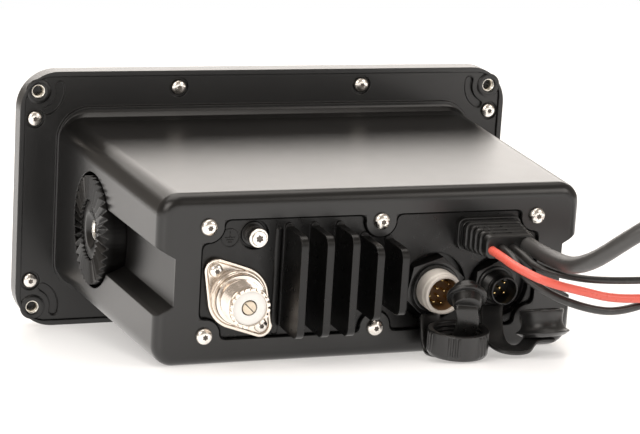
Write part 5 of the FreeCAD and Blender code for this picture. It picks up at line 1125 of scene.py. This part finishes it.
def add_floor():
    """White table whose glow the camera sees once and mirrors twice, and which lights nothing else."""
    mesh = bpy.data.meshes.new("floor")
    half = FLOOR_SIZE / 2
    mesh.from_pydata([(half * x, half * y, 0) for x, y in QUARTERS], [], [(0, 1, 2, 3)])
    look = Look("floor", (0.84, 0.84, 0.84), 0.22, specular=0.45)
    away = look.add("VectorMath", {0: look.place}, operation="LENGTH").outputs["Value"]
    glow = look.span(away, FLOOR_NEAR, FLOOR_FAR, FLOOR_GLOW_NEAR, FLOOR_GLOW_FAR)
    path = look.add("LightPath").outputs
    through = look.maths("MAXIMUM", path["Is Glossy Ray"], path["Is Transmission Ray"])
    seen = look.maths("MAXIMUM", path["Is Camera Ray"], through)
    share = look.maths("ADD", seen, path["Is Glossy Ray"])
    links = {"Color": (*FLOOR_TINT, 1), "Strength": look.times(glow, share)}
    emission = look.add("Emission", links).outputs[0]
    total = look.add("AddShader", {0: look.shader.outputs[0], 1: emission}).outputs[0]
    look.tree.links.new(total, look.tree.nodes["Material Output"].inputs["Surface"])
    mesh.materials.append(look.material)
    floor = linked("floor", mesh)


def set_world():
    """Studio that is white to the camera, a little warm to mirrors and a soft fill light to the rest."""
    world = bpy.data.worlds.new("studio")
    world.use_nodes = True
    tree = world.node_tree
    tree.nodes.clear()
    fill, mirrored, seen = [
        add_node(tree, "Background", {"Color": (*colour, 1), "Strength": strength}).outputs[0]
        for colour, strength in (((1, 1, 1), STUDIO_FILL), (STUDIO_GLOSS, 1), ((1, 1, 1), STUDIO_WHITE))]
    path = add_node(tree, "LightPath").outputs
    light = add_node(tree, "MixShader", {0: path["Is Glossy Ray"], 1: fill, 2: mirrored}).outputs[0]
    rays = {0: path["Is Camera Ray"], 1: path["Is Transmission Ray"]}
    straight = add_node(tree, "Math", rays, operation="MAXIMUM").outputs[0]
    gate = add_node(tree, "MixShader", {0: straight, 1: light, 2: seen}).outputs[0]
    add_node(tree, "OutputWorld", {"Surface": gate})
    bpy.context.scene.world = world


def add_lamps():
    """Soft boxes, all aimed at the radio's middle."""
    for name, (place, size, power) in LAMPS.items():
        lamp = bpy.data.lights.new(name, "AREA")
        lamp.shape = "RECTANGLE"
        lamp.size, lamp.size_y = size
        lamp.energy = power
        lamp.color = LAMP_TINT
        holder = linked(name, lamp)
        holder.location = place
        holder.rotation_euler = (LAMP_AIM - Vector(place)).to_track_quat("-Z", "Y").to_euler()


add_camera()
add_cords()
dress_nodes()
add_screws()
add_ground_screw()
add_antenna_socket()
add_antenna_contact()
add_handset_socket()
add_network_socket()
add_pins("handset", HANDSET_X, HANDSET_Z, 126.5, ((4.4, 20, 9), (1.7, 50, 3)))
add_pins("network", NETWORK_X, NETWORK_Z, 125.9, ((2.7, 45, 4), (0, 0, 1)))
add_grommet()
add_handset_tether()
add_handset_cap()
add_network_cap()
add_plate_reliefs()
add_window_corners()
add_housing_reliefs()
add_sleeves()
add_floor()
set_world()
add_lamps()
bpy.context.scene.view_settings.view_transform = "Standard"
bpy.context.view_layer.update()
